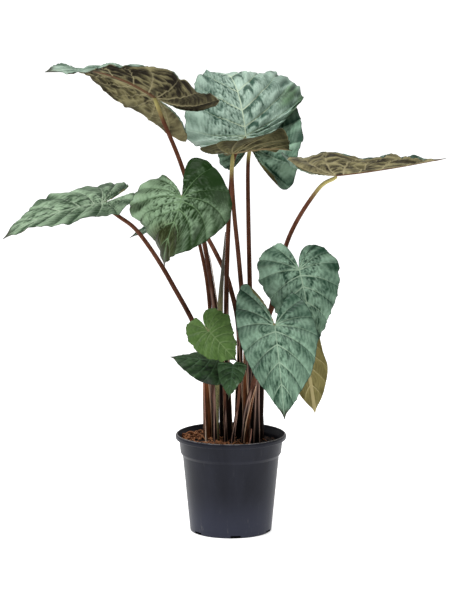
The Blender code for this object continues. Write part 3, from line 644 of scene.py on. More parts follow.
def unit(values):
    """Values kept from 0 to 1."""
    return np.clip(values, 0.0, 1.0)


def bell(distance, width):
    """1 at no distance, and less than a half from a width on."""
    return np.exp(-((distance / width) ** 2))


def vectors(*parts):
    """Vectors from their parts, each an array or a number."""
    return np.stack(np.broadcast_arrays(*parts), -1)


def lumps(points, size):
    """Smooth noise between about -1 and 1 at each point, for lumps of a size."""
    flat = np.asarray(points, float).reshape(-1, 3) / size
    values = np.array([noise.noise(Vector(p)) for p in flat.tolist()])
    return values.reshape(np.shape(points)[:-1])


# Leaf blades

def bezier(points, share):
    """Points of a cubic Bezier at the given shares of it."""
    a, b, c, d = (np.array(p, float) for p in points)
    t = np.asarray(share, float)[:, None]
    return (1 - t) ** 3 * a + 3 * (1 - t) ** 2 * t * b + 3 * (1 - t) * t ** 2 * c + t ** 3 * d


def distance_run(line):
    """Distance that each point of a line has run."""
    return np.concatenate([[0.0], np.cumsum(np.linalg.norm(np.diff(line, axis=0), axis=1))])


def along_line(points, share):
    """Points at the given shares of a fine line's length."""
    run = distance_run(points)
    return vectors(*(np.interp(share * run[-1], run, column) for column in points.T))


def flat_margin(leaf, k, ray):
    """Flat margin of one half at rays counted in side veins: round the lobe, then to the tip."""
    half, lobe, wide = leaf.half[k], leaf.lobes[k], leaf.widest[k] * leaf.length
    inner = leaf.lobe_gap[k] * half
    back = ((-0.78 * lobe, inner), (-1.22 * lobe, inner + 0.16 * half),
            (wide - 0.95 * lobe, half), (wide, half))
    ahead = leaf.length - wide
    front = ((wide, half), (wide + 0.42 * ahead, half),
             (wide + 0.80 * ahead, leaf.tip[k] * half), (leaf.length, 0.0))
    fine = np.linspace(0.0, 1.0, MARGIN_POINTS)
    lobe_part = along_line(bezier(back, fine), unit(ray / LOBE_VEINS))
    onward = unit((ray - LOBE_VEINS) / FRONT_VEINS)
    front_part = along_line(bezier(front, fine), onward ** MARGIN_LEAD)
    return np.where(ray[:, None] <= LOBE_VEINS, lobe_part, front_part)


def flat_grid(leaf, k, ray, out):
    """Flat grid of one half: rays from the midrib to the margin, bowed as side veins are."""
    ahead = np.maximum((ray - LOBE_VEINS) / FRONT_VEINS, 0.0)
    start = ahead ** VEIN_LEAD * LAST_VEIN_START * leaf.length
    origin = vectors(start, 0.0)[:, None]
    reach = flat_margin(leaf, k, ray)[:, None] - origin
    fade = unit((VEINS - ray) * 2.0)[:, None, None]
    bow = vectors(-reach[..., 1], reach[..., 0]) * VEIN_BOW * fade
    share = out[None, :, None]
    grid = origin + reach * share + bow * 4.0 * share * (1.0 - share)
    grid[..., 1] = np.maximum(grid[..., 1], 0.0)
    return grid


def midrib_angles(leaf, k, along):
    """Rise and heading of the midrib's line at a distance along it, in radians."""
    ahead = np.maximum(along / leaf.length, 0.0)
    behind = np.maximum(-along / leaf.lobes[k], 0.0)
    rise = np.radians(leaf.pitch - leaf.droop * ahead ** 1.2 + leaf.lobe_drop[k] * behind)
    return rise, np.radians(leaf.heading + leaf.sweep * ahead)


def frame_on_midrib(leaf, k, along):
    """Place on the midrib's line, and the ways to the left and out of the top side there."""
    shares = (np.arange(MIDRIB_STEPS) + 0.5) / MIDRIB_STEPS
    rise, turn = midrib_angles(leaf, k, along[..., None] * shares)
    way = vectors(np.cos(rise) * np.cos(turn), np.cos(rise) * np.sin(turn), np.sin(rise))
    place = np.array(leaf.at) + way.mean(-2) * along[..., None]
    rise, turn = midrib_angles(leaf, k, along)
    turned = np.maximum(along / leaf.length, 0.0) ** leaf.late
    roll = np.radians(leaf.roll + leaf.twist * turned)[..., None]
    left = vectors(-np.sin(turn), np.cos(turn), 0.0)
    up = vectors(-np.sin(rise) * np.cos(turn), -np.sin(rise) * np.sin(turn), np.cos(rise))
    return place, left * np.cos(roll) + up * np.sin(roll), up * np.cos(roll) - left * np.sin(roll)


def bent_sheet(leaf, k, grid):
    """Flat grid bent along its midrib, folded at it and curled across; and the way that it faces."""
    along, across = grid[..., 0], grid[..., 1]
    side = 1.0 if k == 0 else -1.0
    place, left, normal = frame_on_midrib(leaf, k, along)
    fold = math.radians(leaf.fold[k])
    bend = math.radians(leaf.curl[k]) / leaf.half[k]
    slope = fold + bend * across
    lateral = (np.sin(slope) - math.sin(fold)) / bend
    lift = (math.cos(fold) - np.cos(slope)) / bend
    surface = place + side * left * lateral[..., None] + normal * lift[..., None]
    facing = normal * np.cos(slope)[..., None] - side * left * np.sin(slope)[..., None]
    return surface, facing


def vein_gap(grid, ray):
    """Distance from one side vein to the next at each point, along the ring."""
    step = np.linalg.norm(np.gradient(grid, axis=0), axis=-1)
    return step / np.maximum(np.gradient(ray), TINY)[:, None]


def vein_bubbles(leaf, k, ray, size):
    """Bubbles in rows between the side veins, and the hollow round the upper side of each, where the skin's
    colour is darkened as painted shade; 0 to 1.
    """
    seed = 10.0 * k + leaf.heading
    row = np.floor(ray)[:, None]
    along = size / BUBBLE_SPACING + 0.35 * row - 0.12
    number = np.floor(along)
    strength = unit(0.85 + 0.8 * lumps(vectors(number * 1.7 + 0.4, row * 1.3 + 0.4, seed), 1.0))
    onward, upward = 2.0 * (along - number) - 0.9, 2.0 * (ray[:, None] - row) - 0.9
    far = np.hypot(onward, upward) * (0.95 + 0.20 * np.sin(5.0 * number + 3.0 * row + seed))
    arc = unit((far - 0.30) / 0.50) * unit((1.12 - far) / 0.16)
    side = unit(0.25 + (0.8 * upward + 0.45 * onward) / np.maximum(far, 0.1))
    arc = arc * side * (0.80 + 0.20 * np.cos(far * 17.0))
    strength = strength * unit((BUBBLES_END - size) / BUBBLES_FADE)
    return unit(1.0 - far ** 2) * strength, arc * strength


def small_relief(leaf, k, ray, reach, size):
    """Height of the small relief, and how light the skin is there: pale where raised, dark as painted shade
    in each hollow, along the crumpled folds and beside the side veins; silvery beyond 1.
    """
    row, bubbled = ray[:, None], leaf.bubbled[k]
    inner = unit(1.5 - 1.6 * reach)
    flat = vectors(size, row * 0.16 * leaf.length, 10.0 * k + leaf.heading)
    worms = 1.0 - 3.4 * np.abs(lumps(flat, WORM_SIZE))
    streaks = lumps(flat * np.array([0.30, 1.3, 1.0]), STREAK_SIZE)
    folds = 1.0 - np.abs(lumps(flat * np.array([1.5, 0.5, 1.0]) + 4.0, STREAK_SIZE)) * 3.2
    soft = lumps(flat + 8.0, SWELL_SIZE)
    domes, shaded_hollows = vein_bubbles(leaf, k, ray, size)
    run = size / RIPPLE_SPACING + 1.6 * np.abs(row % 1.0 - 0.5) + 1.1 * soft + 0.4 * streaks
    ripples = np.sin(math.tau * run) * (1.0 - 0.5 * reach) * unit(size / 0.012)
    inside = (1.0 - bubbled) * 0.7 * worms + bubbled * (1.3 * domes - 0.9 * shaded_hollows)
    height = leaf.blisters * (inside * inner + 1.0 * streaks * (1.3 - inner) + 0.8 * soft)
    height += RIPPLE_HEIGHT * ripples
    ahead = np.clip(0.5 * row - 0.5, 0.3, 1.0)
    height += leaf.crumple * ahead * (0.7 * folds + 1.1 * soft + 0.2 * worms) * unit(size / 0.02)

    # How light the skin is: painted shade in the bubbles' hollows, along the crumpled folds and on one side
    # of each side vein, pale on the domes and ripple crests
    depth = 0.4 + 0.6 * min(1.0, leaf.blisters / 0.0030)
    wormy = 0.44 + 170.0 * leaf.blisters * worms / (1.0 + 150.0 * leaf.blisters)
    bubbly = 0.62 + 0.10 * domes + 0.16 * worms - 1.75 * shaded_hollows
    smooth = 0.54 + 0.55 * depth * streaks
    after = row % 1.0 if leaf.shade > 0.0 else 1.0 - row % 1.0
    shade = bell(after, SHADE_WIDTH) - 0.6 * bell(1.0 - after, SHADE_WIDTH)
    shade = abs(leaf.shade) * shade * unit(4.0 * reach) * (1.0 - 0.6 * reach)
    raised = ((1.0 - bubbled) * wormy + bubbled * bubbly) * inner + smooth * (1.0 - inner) - shade
    raised = raised + 0.25 * depth * soft + 0.12 * ripples
    rough = min(1.0, leaf.crumple / 0.004) * ahead
    raised = raised * (1.0 - rough) + rough * (0.62 - 0.50 * np.clip(folds, -0.2, 1.0) + 0.35 * soft)
    # Silvery bloom together with painted light and shade on the lobe, middle and tip
    raised = raised + np.interp(ray, BLOOM_AND_LIGHT_AT, leaf.bloom_and_light[k])[:, None]
    return height, np.clip(raised, 0.0, 2.0)


def ragged_margin(leaf, k, ray, grid, reach):
    """Flat grid with its margin notched and bulged a little, and its tip drawn out."""
    flat = vectors(ray, 3.0 * k + leaf.heading, 0.0)
    cut = 0.65 * lumps(flat, 0.85) + 0.45 * lumps(flat + 5.0, 0.27) + 0.25 * lumps(flat + 9.0, 0.11)
    cut = cut * unit((VEINS - 0.3 - ray) * 1.5) * unit(ray * 2.0)
    way = grid[:, -1:] - grid[:, :1]
    way = way / np.maximum(np.linalg.norm(way, axis=-1, keepdims=True), TINY)
    moved = grid + way * (leaf.ragged * cut[:, None] * reach ** 4)[..., None]
    moved[..., 1] = np.maximum(moved[..., 1], 0.0)
    moved[..., 0] += leaf.drip * unit((ray[:, None] - VEINS + 0.5) * 2.0) ** 4 * reach
    return moved


def stain_share(stains, row, reach):
    """How far each point lies in a patch of another colour, from 0 to 1."""
    share = np.zeros_like(reach)
    for vein, out_to, wide, deep in stains:
        away = np.hypot((row - vein) / wide, (reach - out_to) / deep)
        share = np.maximum(share, unit(2.0 - 2.0 * away))
    return share


def half_blade(leaf, k, ray, out):
    """Top surface of one half with its quilting, blisters and waved edge, and its named values."""
    grid = flat_grid(leaf, k, ray, out)
    size = np.linalg.norm(grid - grid[:, :1], axis=-1)
    row, reach = np.broadcast_arrays(ray[:, None], out[None, :])
    share = row / VEINS
    sheet, facing = bent_sheet(leaf, k, ragged_margin(leaf, k, ray, grid, reach))
    room = unit(size / (0.35 * leaf.half[0])) * unit((1 - share) * 6)
    puff = 1.9 * np.abs(np.sin(math.pi * row)) ** 0.65 * reach ** 0.6 * (1 - 0.55 * reach)
    edge = np.sin(6 * math.pi * share + math.radians(leaf.phase) + 1.9 * k) * reach ** 2
    flat = vectors(ray, 5.0 * k + leaf.heading, 1.0)
    frill = (lumps(flat, 0.55) + 0.6 * lumps(flat, 0.23))[:, None] * reach ** 4
    small, raised = small_relief(leaf, k, ray, reach, size)
    height = leaf.quilt * puff + leaf.wave * edge + 0.75 * (leaf.ragged + 0.001) * frill + small
    height -= GROOVE_DEPTH * bell(grid[..., 1], GROOVE_WIDTH) * (row >= LOBE_VEINS)
    surface = sheet + facing * (height * room)[..., None]
    across = np.where(row >= MIDRIB_FROM, grid[..., 1], grid[..., 1] + size)
    return surface, {"vein_at": row, "vein_gap": vein_gap(grid, ray), "reach": reach, "size": size,
                     "across": across, "raised": raised,
                     "stain": stain_share(leaf.stains[k], row, reach)}


def ray_places(steps):
    """Rays counted in side veins, closer together near each vein."""
    inside = (1.0 - np.cos(math.pi * np.arange(steps) / steps)) / 2.0
    rays = np.arange(VEINS)[:, None] + inside[None, :]
    return np.concatenate([rays.ravel(), [float(VEINS)]])


def ring_places(rings):
    """Shares from the midrib to the margin, closer together at the midrib."""
    return np.concatenate([[0.0, 0.010, 0.024, 0.044], np.linspace(0.070, 1.0, rings - 3)])


def blade_mesh(leaf, settings):
    """Open top surface of a blade with its named values and the weight of its ribs."""
    share = 1.0 if leaf.length > SMALL_BLADE else SMALL_BLADE_STEPS
    steps = round(settings.steps * share)
    ray, out = ray_places(steps), ring_places(round(settings.rings * share))
    halves = [half_blade(leaf, k, ray, out) for k in (0, 1)]
    rays, rings = len(ray), len(out)
    lobe_rays = LOBE_VEINS * steps
    index = np.arange(2 * rays * rings).reshape(2, rays, rings)
    index[:, :lobe_rays, 0] = index[0, lobe_rays, 0]
    index[1, :, 0] = index[0, :, 0]
    index[1, -1, :] = index[0, -1, :]
    used, compact = np.unique(index, return_inverse=True)
    index = compact.reshape(index.shape)
    faces = []
    for k in (0, 1):
        a, b = index[k, :-1, :-1], index[k, 1:, :-1]
        c, d = index[k, 1:, 1:], index[k, :-1, 1:]
        quads = np.stack([a, b, c, d] if k == 0 else [a, d, c, b], -1).reshape(-1, 4)
        faces += [list(dict.fromkeys(quad)) for quad in quads.tolist()]
    faces = [face for face in faces if len(face) > 2]
    points = np.stack([half[0] for half in halves]).reshape(-1, 3)[used]
    values = {name: np.stack([half[1][name] for half in halves]).reshape(-1)[used]
              for name in halves[0][1]}
    mesh = new_mesh(f"blade_{leaf.name}", points, faces)
    write_values(mesh, **values)
    return mesh, rib_weights(values, settings)


def rib_weights(values, settings):
    """Thickness share at each point: 1 on the midrib, less on the side veins."""
    vein_at = values["vein_at"]
    middle = bell(values["across"], settings.rib_width) * (vein_at >= MIDRIB_FROM)
    middle *= np.clip((VEINS - vein_at) * 0.35, 0.15, 1.0)
    hub = bell(values["size"], HUB_SIZE) * (vein_at < LOBE_VEINS + 0.2)
    off = np.abs((vein_at + 0.5) % 1.0 - 0.5) * values["vein_gap"]
    side = 0.42 * bell(off, SIDE_RIB_WIDTH) * (1.0 - values["reach"]) ** 0.7
    return unit(np.maximum(np.maximum(middle, side), hub))


def build_blade(leaf, settings, materials):
    """Blade: its top surface, thickened downwards, most along the midrib and side veins."""
    mesh, weights = blade_mesh(leaf, settings)
    blade = new_object(f"dressed_blade_{leaf.name}", mesh, materials, f"blade_{leaf.name}")
    group = blade.vertex_groups.new(name="rib")
    weights = np.round(weights, 2)
    for weight in np.unique(weights):
        group.add(np.nonzero(weights == weight)[0].tolist(), float(weight), "REPLACE")
    modify(blade, "SOLIDIFY", thickness=settings.rib, offset=-1.0, vertex_group="rib",
           thickness_vertex_group=settings.edge / settings.rib, material_offset=1)
    smooth_but_sharp(blade.data, 70.0)


def vein_masks(finish, spacing):
    """Masks of the main veins, of the small ones and of the crease beside a vein."""
    ray, gap = finish.attribute("vein_at"), finish.attribute("vein_gap")
    reach, size = finish.attribute("reach"), finish.attribute("size")
    apart = abs((ray + 0.5).fraction() - 0.5)
    off = apart * gap
    side = (off - (1.0 - reach) * 0.0008).ramp(0.0014, 0.0003)
    middle = (finish.attribute("across") - (VEINS - ray) * 0.00012).ramp(0.0013, 0.0005)
    main = (side * (1.1 - reach * 0.8)).larger(middle)
    wander = finish.speckle(60.0, 3.0, 0.55)
    line = (size / spacing + wander * 3.0 + apart * 1.4).fraction()
    small = abs(line - 0.5).ramp(0.46, 0.40) * (1.0 - reach) * wander.ramp(0.40, 0.60)
    crease = off.ramp(0.0060, 0.0014) * (1.0 - reach * 0.75)
    return main, small, crease, reach


def leaf_top(name, tones, spacing):
    """Waxy upper side of a leaf: raised skin pale and silvery at its peaks, partly as a painted highlight,
    each hollow and crease dark as painted shade, veins pale, rim dark.
    """
    raised_colour, shaded_hollow_colour, vein_colour = tones[:3]
    finish = Finish(name, specular_ior_level=TOP_GLOSS.get(name, 0.20))
    main, small, crease, reach = vein_masks(finish, spacing)
    cloud = finish.speckle(13.0, 5.0, 0.6)
    fleck = finish.speckle(260.0, 3.0, 0.6)
    grain = (cloud - 0.5) * 0.25 + (fleck - 0.5) * 0.3 + (small - 0.3) * 0.26
    # Creases beside the veins a little darker: painted shade
    lift = finish.attribute("raised") + grain - crease * 0.06
    skin = finish.mix(lift.ramp(0.0, 1.0), shaded_hollow_colour, raised_colour)
    # Silvery where the skin is lightest: partly the leaf's silvery bloom, partly a painted highlight
    skin = finish.mix(lift.ramp(0.90, 1.60) * 0.8, skin, (0.620, 0.740, 0.660))
    if name in STAIN_COLOURS:
        stained = STAIN_COLOURS[name]
        stained = finish.mix(lift.ramp(0.1, 1.1), times(stained, 0.25), stained)
        skin = finish.mix(finish.attribute("stain") * (0.60 + cloud * 0.5), skin, stained)
    skin = finish.mix((main * 0.65 + small * 0.12).ramp(0.0, 1.0), skin, vein_colour)
    skin = finish.mix(reach.ramp(0.980, 0.998) * 0.75, skin, times(shaded_hollow_colour, 0.35))
    tip = (finish.attribute("vein_at") + reach * 0.9).ramp(8.15, 8.60)
    skin = finish.mix(tip * 0.9, skin, (0.024, 0.022, 0.010))
    return finish.cover(skin, 0.34 + fleck * 0.16 + main * 0.10,
                        small * -0.25 + main * -0.30 + fleck * 0.40, 0.0008, 0.9)


def leaf_under(name, tones, spacing):
    """Dull underside: what is hollow on top stands out pale here and what is raised on top lies in painted
    shade, with pale raised veins.
    """
    ridge_colour, shaded_deep_colour, vein_colour, midrib_colour = tones[3:]
    finish = Finish(name, specular_ior_level=0.10)
    main, small, crease, reach = vein_masks(finish, spacing)
    cloud = finish.speckle(16.0, 5.0, 0.6)
    fleck = finish.speckle(300.0, 3.0, 0.6)
    # What is raised on top is dark underneath, as painted shade
    lift = 0.95 - finish.attribute("raised") * 1.1
    lift = (lift + (cloud - 0.5) * 0.6 + (fleck - 0.5) * 0.3 + crease * 0.1).ramp(0.0, 1.0)
    skin = finish.mix(lift, shaded_deep_colour, ridge_colour)
    skin = finish.mix((main * 0.7 + small * 0.25).ramp(0.0, 1.0), skin, vein_colour)
    midrib = finish.attribute("across").ramp(0.0042, 0.0030)
    midrib = midrib * finish.attribute("vein_at").ramp(2.75, 2.95)
    skin = finish.mix(midrib * 0.85, skin, midrib_colour)
    skin = finish.mix(reach.ramp(0.982, 0.998) * 0.6, skin, vein_colour)
    return finish.cover(skin, 0.56 + fleck * 0.18, small * 0.35 + main * 0.5 + fleck * 0.30, 0.0007, 0.9)


# Stalks, sheaths, rolled leaf and roots

def smooth_path(points, step):
    """Catmull-Rom line through points, its first stretch kept straight."""
    points = [np.array(p, float) for p in points]
    padded = points + [2 * points[-1] - points[-2]]
    line = [points[0]]
    for i in range(1, len(points) - 1):
        a, b, c, d = padded[i - 1:i + 3]
        count = max(2, round(float(np.linalg.norm(c - b)) / step))
        for t in np.arange(count) / count:
            line.append(0.5 * (2 * b + (c - a) * t + (2 * a - 5 * b + 4 * c - d) * t ** 2
                               + (3 * b - a - 3 * c + d) * t ** 3))
    line.append(points[-1])
    return np.array(line)


def from_soil(foot, *further, step):
    """Smooth path that stands upright in its hole in the soil and goes on through further points."""
    top = bpy.context.scene.alocasia_soil.top
    return smooth_path([(*foot, top - HOLE_DEPTH), (*foot, top + UPRIGHT), *further], step)


def blade_seat(leaf):
    """Where the stalk ends: under the blade's rib, clear of the halves that hang beside it."""
    rib = bpy.context.scene.alocasia_leaf.rib
    place, _, normal = frame_on_midrib(leaf, 0, np.array(0.0))
    way = place - np.array(leaf.way[-1])
    slant = np.linalg.norm(np.cross(way, normal)) / np.linalg.norm(way)
    hang = math.tan(math.radians(max(0.0, -min(leaf.fold))))
    below = rib + SEAT_GAP + CAD_TIP_RADIUS * (slant + hang)
    return place - normal * below, place - normal * INTO_RIB


def stalk_path(leaf, step=PATH_STEP):
    """Centre line of a leaf's stalk, from its hole to its seat under the blade."""
    return from_soil(leaf.foot, *leaf.way, blade_seat(leaf)[0], step=step)


def run_shares(line):
    """Share of its length that each point of a line has run."""
    run = distance_run(line)
    return run / run[-1]


def ring_frames(line):
    """Two ways across the line at each of its points, carried along it without a twist."""
    ways = np.gradient(line, axis=0)
    ways /= np.linalg.norm(ways, axis=1, keepdims=True)
    front = np.array([0.0, -1.0, 0.0])
    fronts, sides = [], []
    for way in ways:
        front = front - way * front.dot(way)
        front /= np.linalg.norm(front)
        fronts.append(front)
        sides.append(np.cross(way, front))
    return np.array(fronts), np.array(sides)


def ring_faces(rings, sides, downward=False):
    """Faces of a closed tube of rings, whose last two points close its first and last ring."""
    faces = grid_faces(rings, sides, sides)
    foot, last = rings * sides, (rings - 1) * sides
    faces += [(foot, (s + 1) % sides, s) for s in range(sides)]
    faces += [(foot + 1, last + s, last + (s + 1) % sides) for s in range(sides)]
    return [face[:1] + face[:0:-1] for face in faces] if downward else faces


def tube_mesh(name, line, radii, sides, section=None):
    """Closed tube along a line, and the (share, angle) of its points. The section gives a factor
    for the radius there."""
    shares = run_shares(line)
    fronts, across = ring_frames(line)
    turn = np.arange(sides) / sides * math.tau
    reach = radii[:, None] * (np.ones(sides) if section is None else section(shares[:, None], turn))
    rings = (line[:, None] + fronts[:, None] * (reach * np.cos(turn))[..., None]
             + across[:, None] * (reach * np.sin(turn))[..., None])
    points = np.concatenate([rings.reshape(-1, 3), line[:1], line[-1:]])
    climb = np.concatenate([np.repeat(shares, sides), [0.0, 1.0]])
    front = np.concatenate([np.tile(turn, len(line)), [0.0, 0.0]])
    return new_mesh(name, points, ring_faces(len(line), sides)), climb, front


def stalk_radius(leaf, share):
    """Radius of a stalk along it, as in the solid."""
    stalk = bpy.context.scene.alocasia_stalk
    steps = (stalk.foot, stalk.foot, stalk.middle, stalk.top)
    return np.interp(share, (0.0, 0.10, 0.45, 1.0), steps) * leaf.stout


def wing_mask(leaf, climb, front):
    """Pale edges of the stalk's own sheath: two lines that meet in a point on the lower stalk."""
    opening = math.radians(WING_OPENING) * unit(1.0 - climb / WING_HEIGHT) ** 0.6
    facing = math.radians(25.0 * math.sin(leaf.foot[0] * 900.0 + leaf.foot[1] * 500.0))
    turn = np.abs((front - facing + math.pi) % math.tau - math.pi)
    return bell(turn - opening, WING_WIDTH) * unit((WING_GONE - climb) / 0.08) * unit(climb / 0.03)


def build_stalk(leaf, material):
    """Stalk with the low ridges of its sheath edges, running into the blade's rib."""
    line = stalk_path(leaf, bpy.context.scene.alocasia_stalk.step)
    line = np.concatenate([line, [blade_seat(leaf)[1]]])
    shares = run_shares(line)
    left = (1.0 - shares) * distance_run(line)[-1]
    radii = stalk_radius(leaf, shares) * (0.42 + 0.58 * unit(left / STALK_TAPER) ** 0.5)

    def section(share, turn):
        """Slight groove and raised sheath edges."""
        return 1.0 - 0.05 * np.cos(2 * turn) + 0.10 * wing_mask(leaf, share, turn)

    mesh, climb, front = tube_mesh(f"stalk_{leaf.name}", line, radii, STALK_SIDES, section)
    ripe = unit((climb - leaf.pale_from) / max(0.02, 1.0 - leaf.pale_from))
    write_values(mesh, climb=climb, wing=wing_mask(leaf, climb, front), ripe=ripe)
    mesh.shade_smooth()
    new_object(f"dressed_stalk_{leaf.name}", mesh, [material], f"stalk_{leaf.name}")


def stalk_finish():
    """Purple-brown at the foot, nearly black there as painted shade among the stalks, red-brown above,
    yellow-green under the blade, in long streaks.
    """
    stalk = bpy.context.scene.alocasia_stalk
    finish = Finish("stalk_skin", specular_ior_level=0.05)
    climb, wing, ripe = (finish.attribute(name) for name in ("climb", "wing", "ripe"))
    streak = finish.speckle((260.0, 260.0, 14.0), 4.0, 0.6)
    mottle = finish.speckle((90.0, 90.0, 40.0), 3.0, 0.6)
    # The nearly black foot colour is partly painted shade among the stalks; red-brown takes over higher up
    skin = finish.mix((climb + streak * 0.22 - 0.11).ramp(0.28, 0.88), stalk.dark, stalk.red)
    blush = (mottle * 0.9 + streak * 0.5).ramp(0.45, 0.95) * climb.ramp(0.10, 0.50) * 0.6
    skin = finish.mix(blush, skin, times(stalk.red, 1.9, 0.02))
    skin = finish.mix((ripe * 1.2 + streak * 0.35 - 0.20).ramp(0.0, 0.9), skin, stalk.pale)
    skin = finish.mix(wing * (0.55 + streak * 0.6), skin, (0.700, 0.460, 0.370))
    return finish.cover(skin, 0.40 + streak * 0.22, streak * 0.6 + mottle * 0.2, 0.0005, 0.6)


def sheath_mesh(name, leaf, top, facing, spread, orange):
    """Thin wrap round the front of a stalk's foot, narrowing to a point, with a ragged edge."""
    sheath, low = bpy.context.scene.alocasia_sheath, bpy.context.scene.alocasia_soil.top
    line = stalk_path(leaf)
    rows, columns = SHEATH_STEPS
    height = np.linspace(low + SHEATH_LIFT, top, rows + 1)

    def centre(level):
        """Place of the stalk's line at a height, seen from above."""
        return vectors(*(np.interp(level, line[:, 2], line[:, i]) for i in (0, 1)))

    lean = np.linalg.norm((centre(height + LEAN_STEP) - centre(height)) / LEAN_STEP, axis=1)
    radius = stalk_radius(leaf, np.interp(height, line[:, 2], run_shares(line))) * np.hypot(1.0, lean)
    radius = (radius * 1.05 + sheath.clearance)[:, None]
    climb = np.linspace(0.0, 1.0, rows + 1)[:, None]
    across = np.linspace(-1.0, 1.0, columns + 1)
    reach = math.radians(spread) * (1.0 - SHEATH_NARROWING * climb ** 1.6)
    ragged = SHEATH_RAGGED * lumps(vectors(height * 60.0, facing, 0.0), 1.0)[:, None]
    turn = math.radians(facing) + (reach + ragged) * across
    lifted = radius * (1.0 + SHEATH_CURL * np.abs(across) ** 4 * (0.4 + climb))
    middle = centre(height)
    points = vectors(middle[:, :1] + lifted * np.cos(turn), middle[:, 1:] + lifted * np.sin(turn),
                     height[:, None])
    mesh = new_mesh(name, points.reshape(-1, 3), grid_faces(rows + 1, columns + 1, columns))
    edge, climb, orange = np.broadcast_arrays(np.abs(across), climb, orange)
    write_values(mesh, edge=edge, climb=climb, orange=orange)
    return mesh


def build_sheath(name, leaf, shape, material):
    """Dry sheath with its thickness."""
    mesh = sheath_mesh(name, leaf, *shape)
    sheath = new_object(f"dressed_{name}", mesh, [material], name)
    thickness = bpy.context.scene.alocasia_sheath.thickness * DRESSED_SHEATH
    modify(sheath, "SOLIDIFY", thickness=thickness, offset=1.0)
    smooth_but_sharp(sheath.data, 60.0)


def sheath_finish():
    """Papery brown with long fibres and a pale pinkish edge; the less orange sheaths nearly black, partly
    as painted shade.
    """
    sheath = bpy.context.scene.alocasia_sheath
    finish = Finish("dry_sheath", specular_ior_level=0.04)
    edge, climb, orange = (finish.attribute(name) for name in ("edge", "climb", "orange"))
    fibre = finish.speckle((420.0, 420.0, 9.0), 4.0, 0.65)
    patch = finish.speckle((45.0, 45.0, 12.0), 3.0, 0.6)
    # Less orange sheaths darken towards near black: their dry brown together with painted shade among the
    # stalks
    shown = (fibre * 0.9 + patch * 0.6).ramp(0.45, 1.05) * (0.25 + orange)
    skin = finish.mix(shown, times(sheath.brown, 0.12), sheath.brown)
    warm = (patch * 0.7 + fibre * 0.5 + climb * 0.1).ramp(0.50, 0.85) * orange
    skin = finish.mix(warm, skin, (0.250, 0.085, 0.030))
    skin = finish.mix((edge + fibre * 0.16).ramp(0.86, 1.0), skin, sheath.pale)
    return finish.cover(skin, 0.50 + fibre * 0.25, fibre + patch * 0.4, 0.0006, 0.8)


def spear_seam(share, turn):
    """Where the rolled leaf's outer edge lies: it winds slowly round as it climbs."""
    return (turn - 0.9 - 2.2 * share) % math.tau


def build_spear(material):
    """Rolled young leaf with the step of its outer edge winding up it."""
    line = from_soil(*SPEAR_PATH, step=SPEAR_STEP)
    radii = np.interp(run_shares(line), (0.0, 0.62, 1.0), SPEAR_RADII)

    def section(share, turn):
        """Radius that grows round to a step at the seam."""
        return 0.90 + 0.17 * spear_seam(share, turn) / math.tau

    mesh, climb, front = tube_mesh("spear", line, radii, SPEAR_SIDES, section)
    write_values(mesh, climb=climb, seam=spear_seam(climb, front) / math.tau)
    smooth_but_sharp(mesh, 50.0)
    new_object("dressed_spear_rolled", mesh, [material], "spear_rolled")


def spear_finish():
    """Green-yellow skin with dark speckles, and a dark line beside the seam."""
    finish = Finish("rolled_leaf")
    climb, seam = finish.attribute("climb"), finish.attribute("seam")
    cells = {"Vector": finish.stretched((1.0, 1.0, 0.55)), "Scale": 420.0}
    speck = finish.node("ShaderNodeTexVoronoi", None, cells).ramp(0.42, 0.22)
    streak = finish.speckle((240.0, 240.0, 16.0), 3.0, 0.6)
    skin = finish.mix(streak.ramp(0.3, 0.7), (0.310, 0.270, 0.095), (0.160, 0.165, 0.055))
    skin = finish.mix((climb + streak * 0.2).ramp(0.60, 0.95), skin, (0.045, 0.042, 0.026))
    skin = finish.mix(speck * streak.ramp(0.30, 0.60) * 0.9, skin, (0.035, 0.026, 0.014))
    skin = finish.mix(seam.ramp(0.93, 0.99), skin, (0.020, 0.014, 0.012))
    return finish.cover(skin, 0.42 + streak * 0.2, streak, 0.0004, 0.6)


def build_root(name, path, material):
    """Thin pale root that rises from the soil, slightly knobbly."""
    line = from_soil(*path, step=ROOT_STEP)
    radii = ROOT_RADIUS * (1.0 - 0.5 * run_shares(line)) * (1.0 + 0.14 * lumps(line, 0.012))
    mesh, climb, _ = tube_mesh(name, line, radii, ROOT_SIDES)
    write_values(mesh, climb=climb)
    mesh.shade_smooth()
    new_object(f"dressed_{name}", mesh, [material], name)


def root_finish():
    """Cream at the foot, pinkish brown higher up."""
    finish = Finish("pale_root")
    patch = finish.speckle(120.0, 4.0, 0.6)
    share = (finish.attribute("climb") + patch * 0.3).ramp(0.30, 0.75)
    skin = finish.mix(share, (0.620, 0.520, 0.400), (0.330, 0.150, 0.105))
    return finish.cover(skin, 0.5 + patch * 0.25, patch, 0.0005, 0.7)


# Pot and soil

def rounded(profile):
    """Profile with each inner corner replaced by a short arc."""
    points = [np.array(p, float) for p in profile]
    made = [points[0]]
    for before, corner, after in zip(points, points[1:], points[2:]):
        back, ahead = before - corner, after - corner
        cut = min(CORNER_RADIUS, 0.42 * np.linalg.norm(back), 0.42 * np.linalg.norm(ahead))
        first = corner + back / np.linalg.norm(back) * cut
        last = corner + ahead / np.linalg.norm(ahead) * cut
        for t in np.linspace(0.0, 1.0, CORNER_STEPS + 1):
            made.append((1 - t) ** 2 * first + 2 * (1 - t) * t * corner + t ** 2 * last)
    made.append(points[-1])
    return made


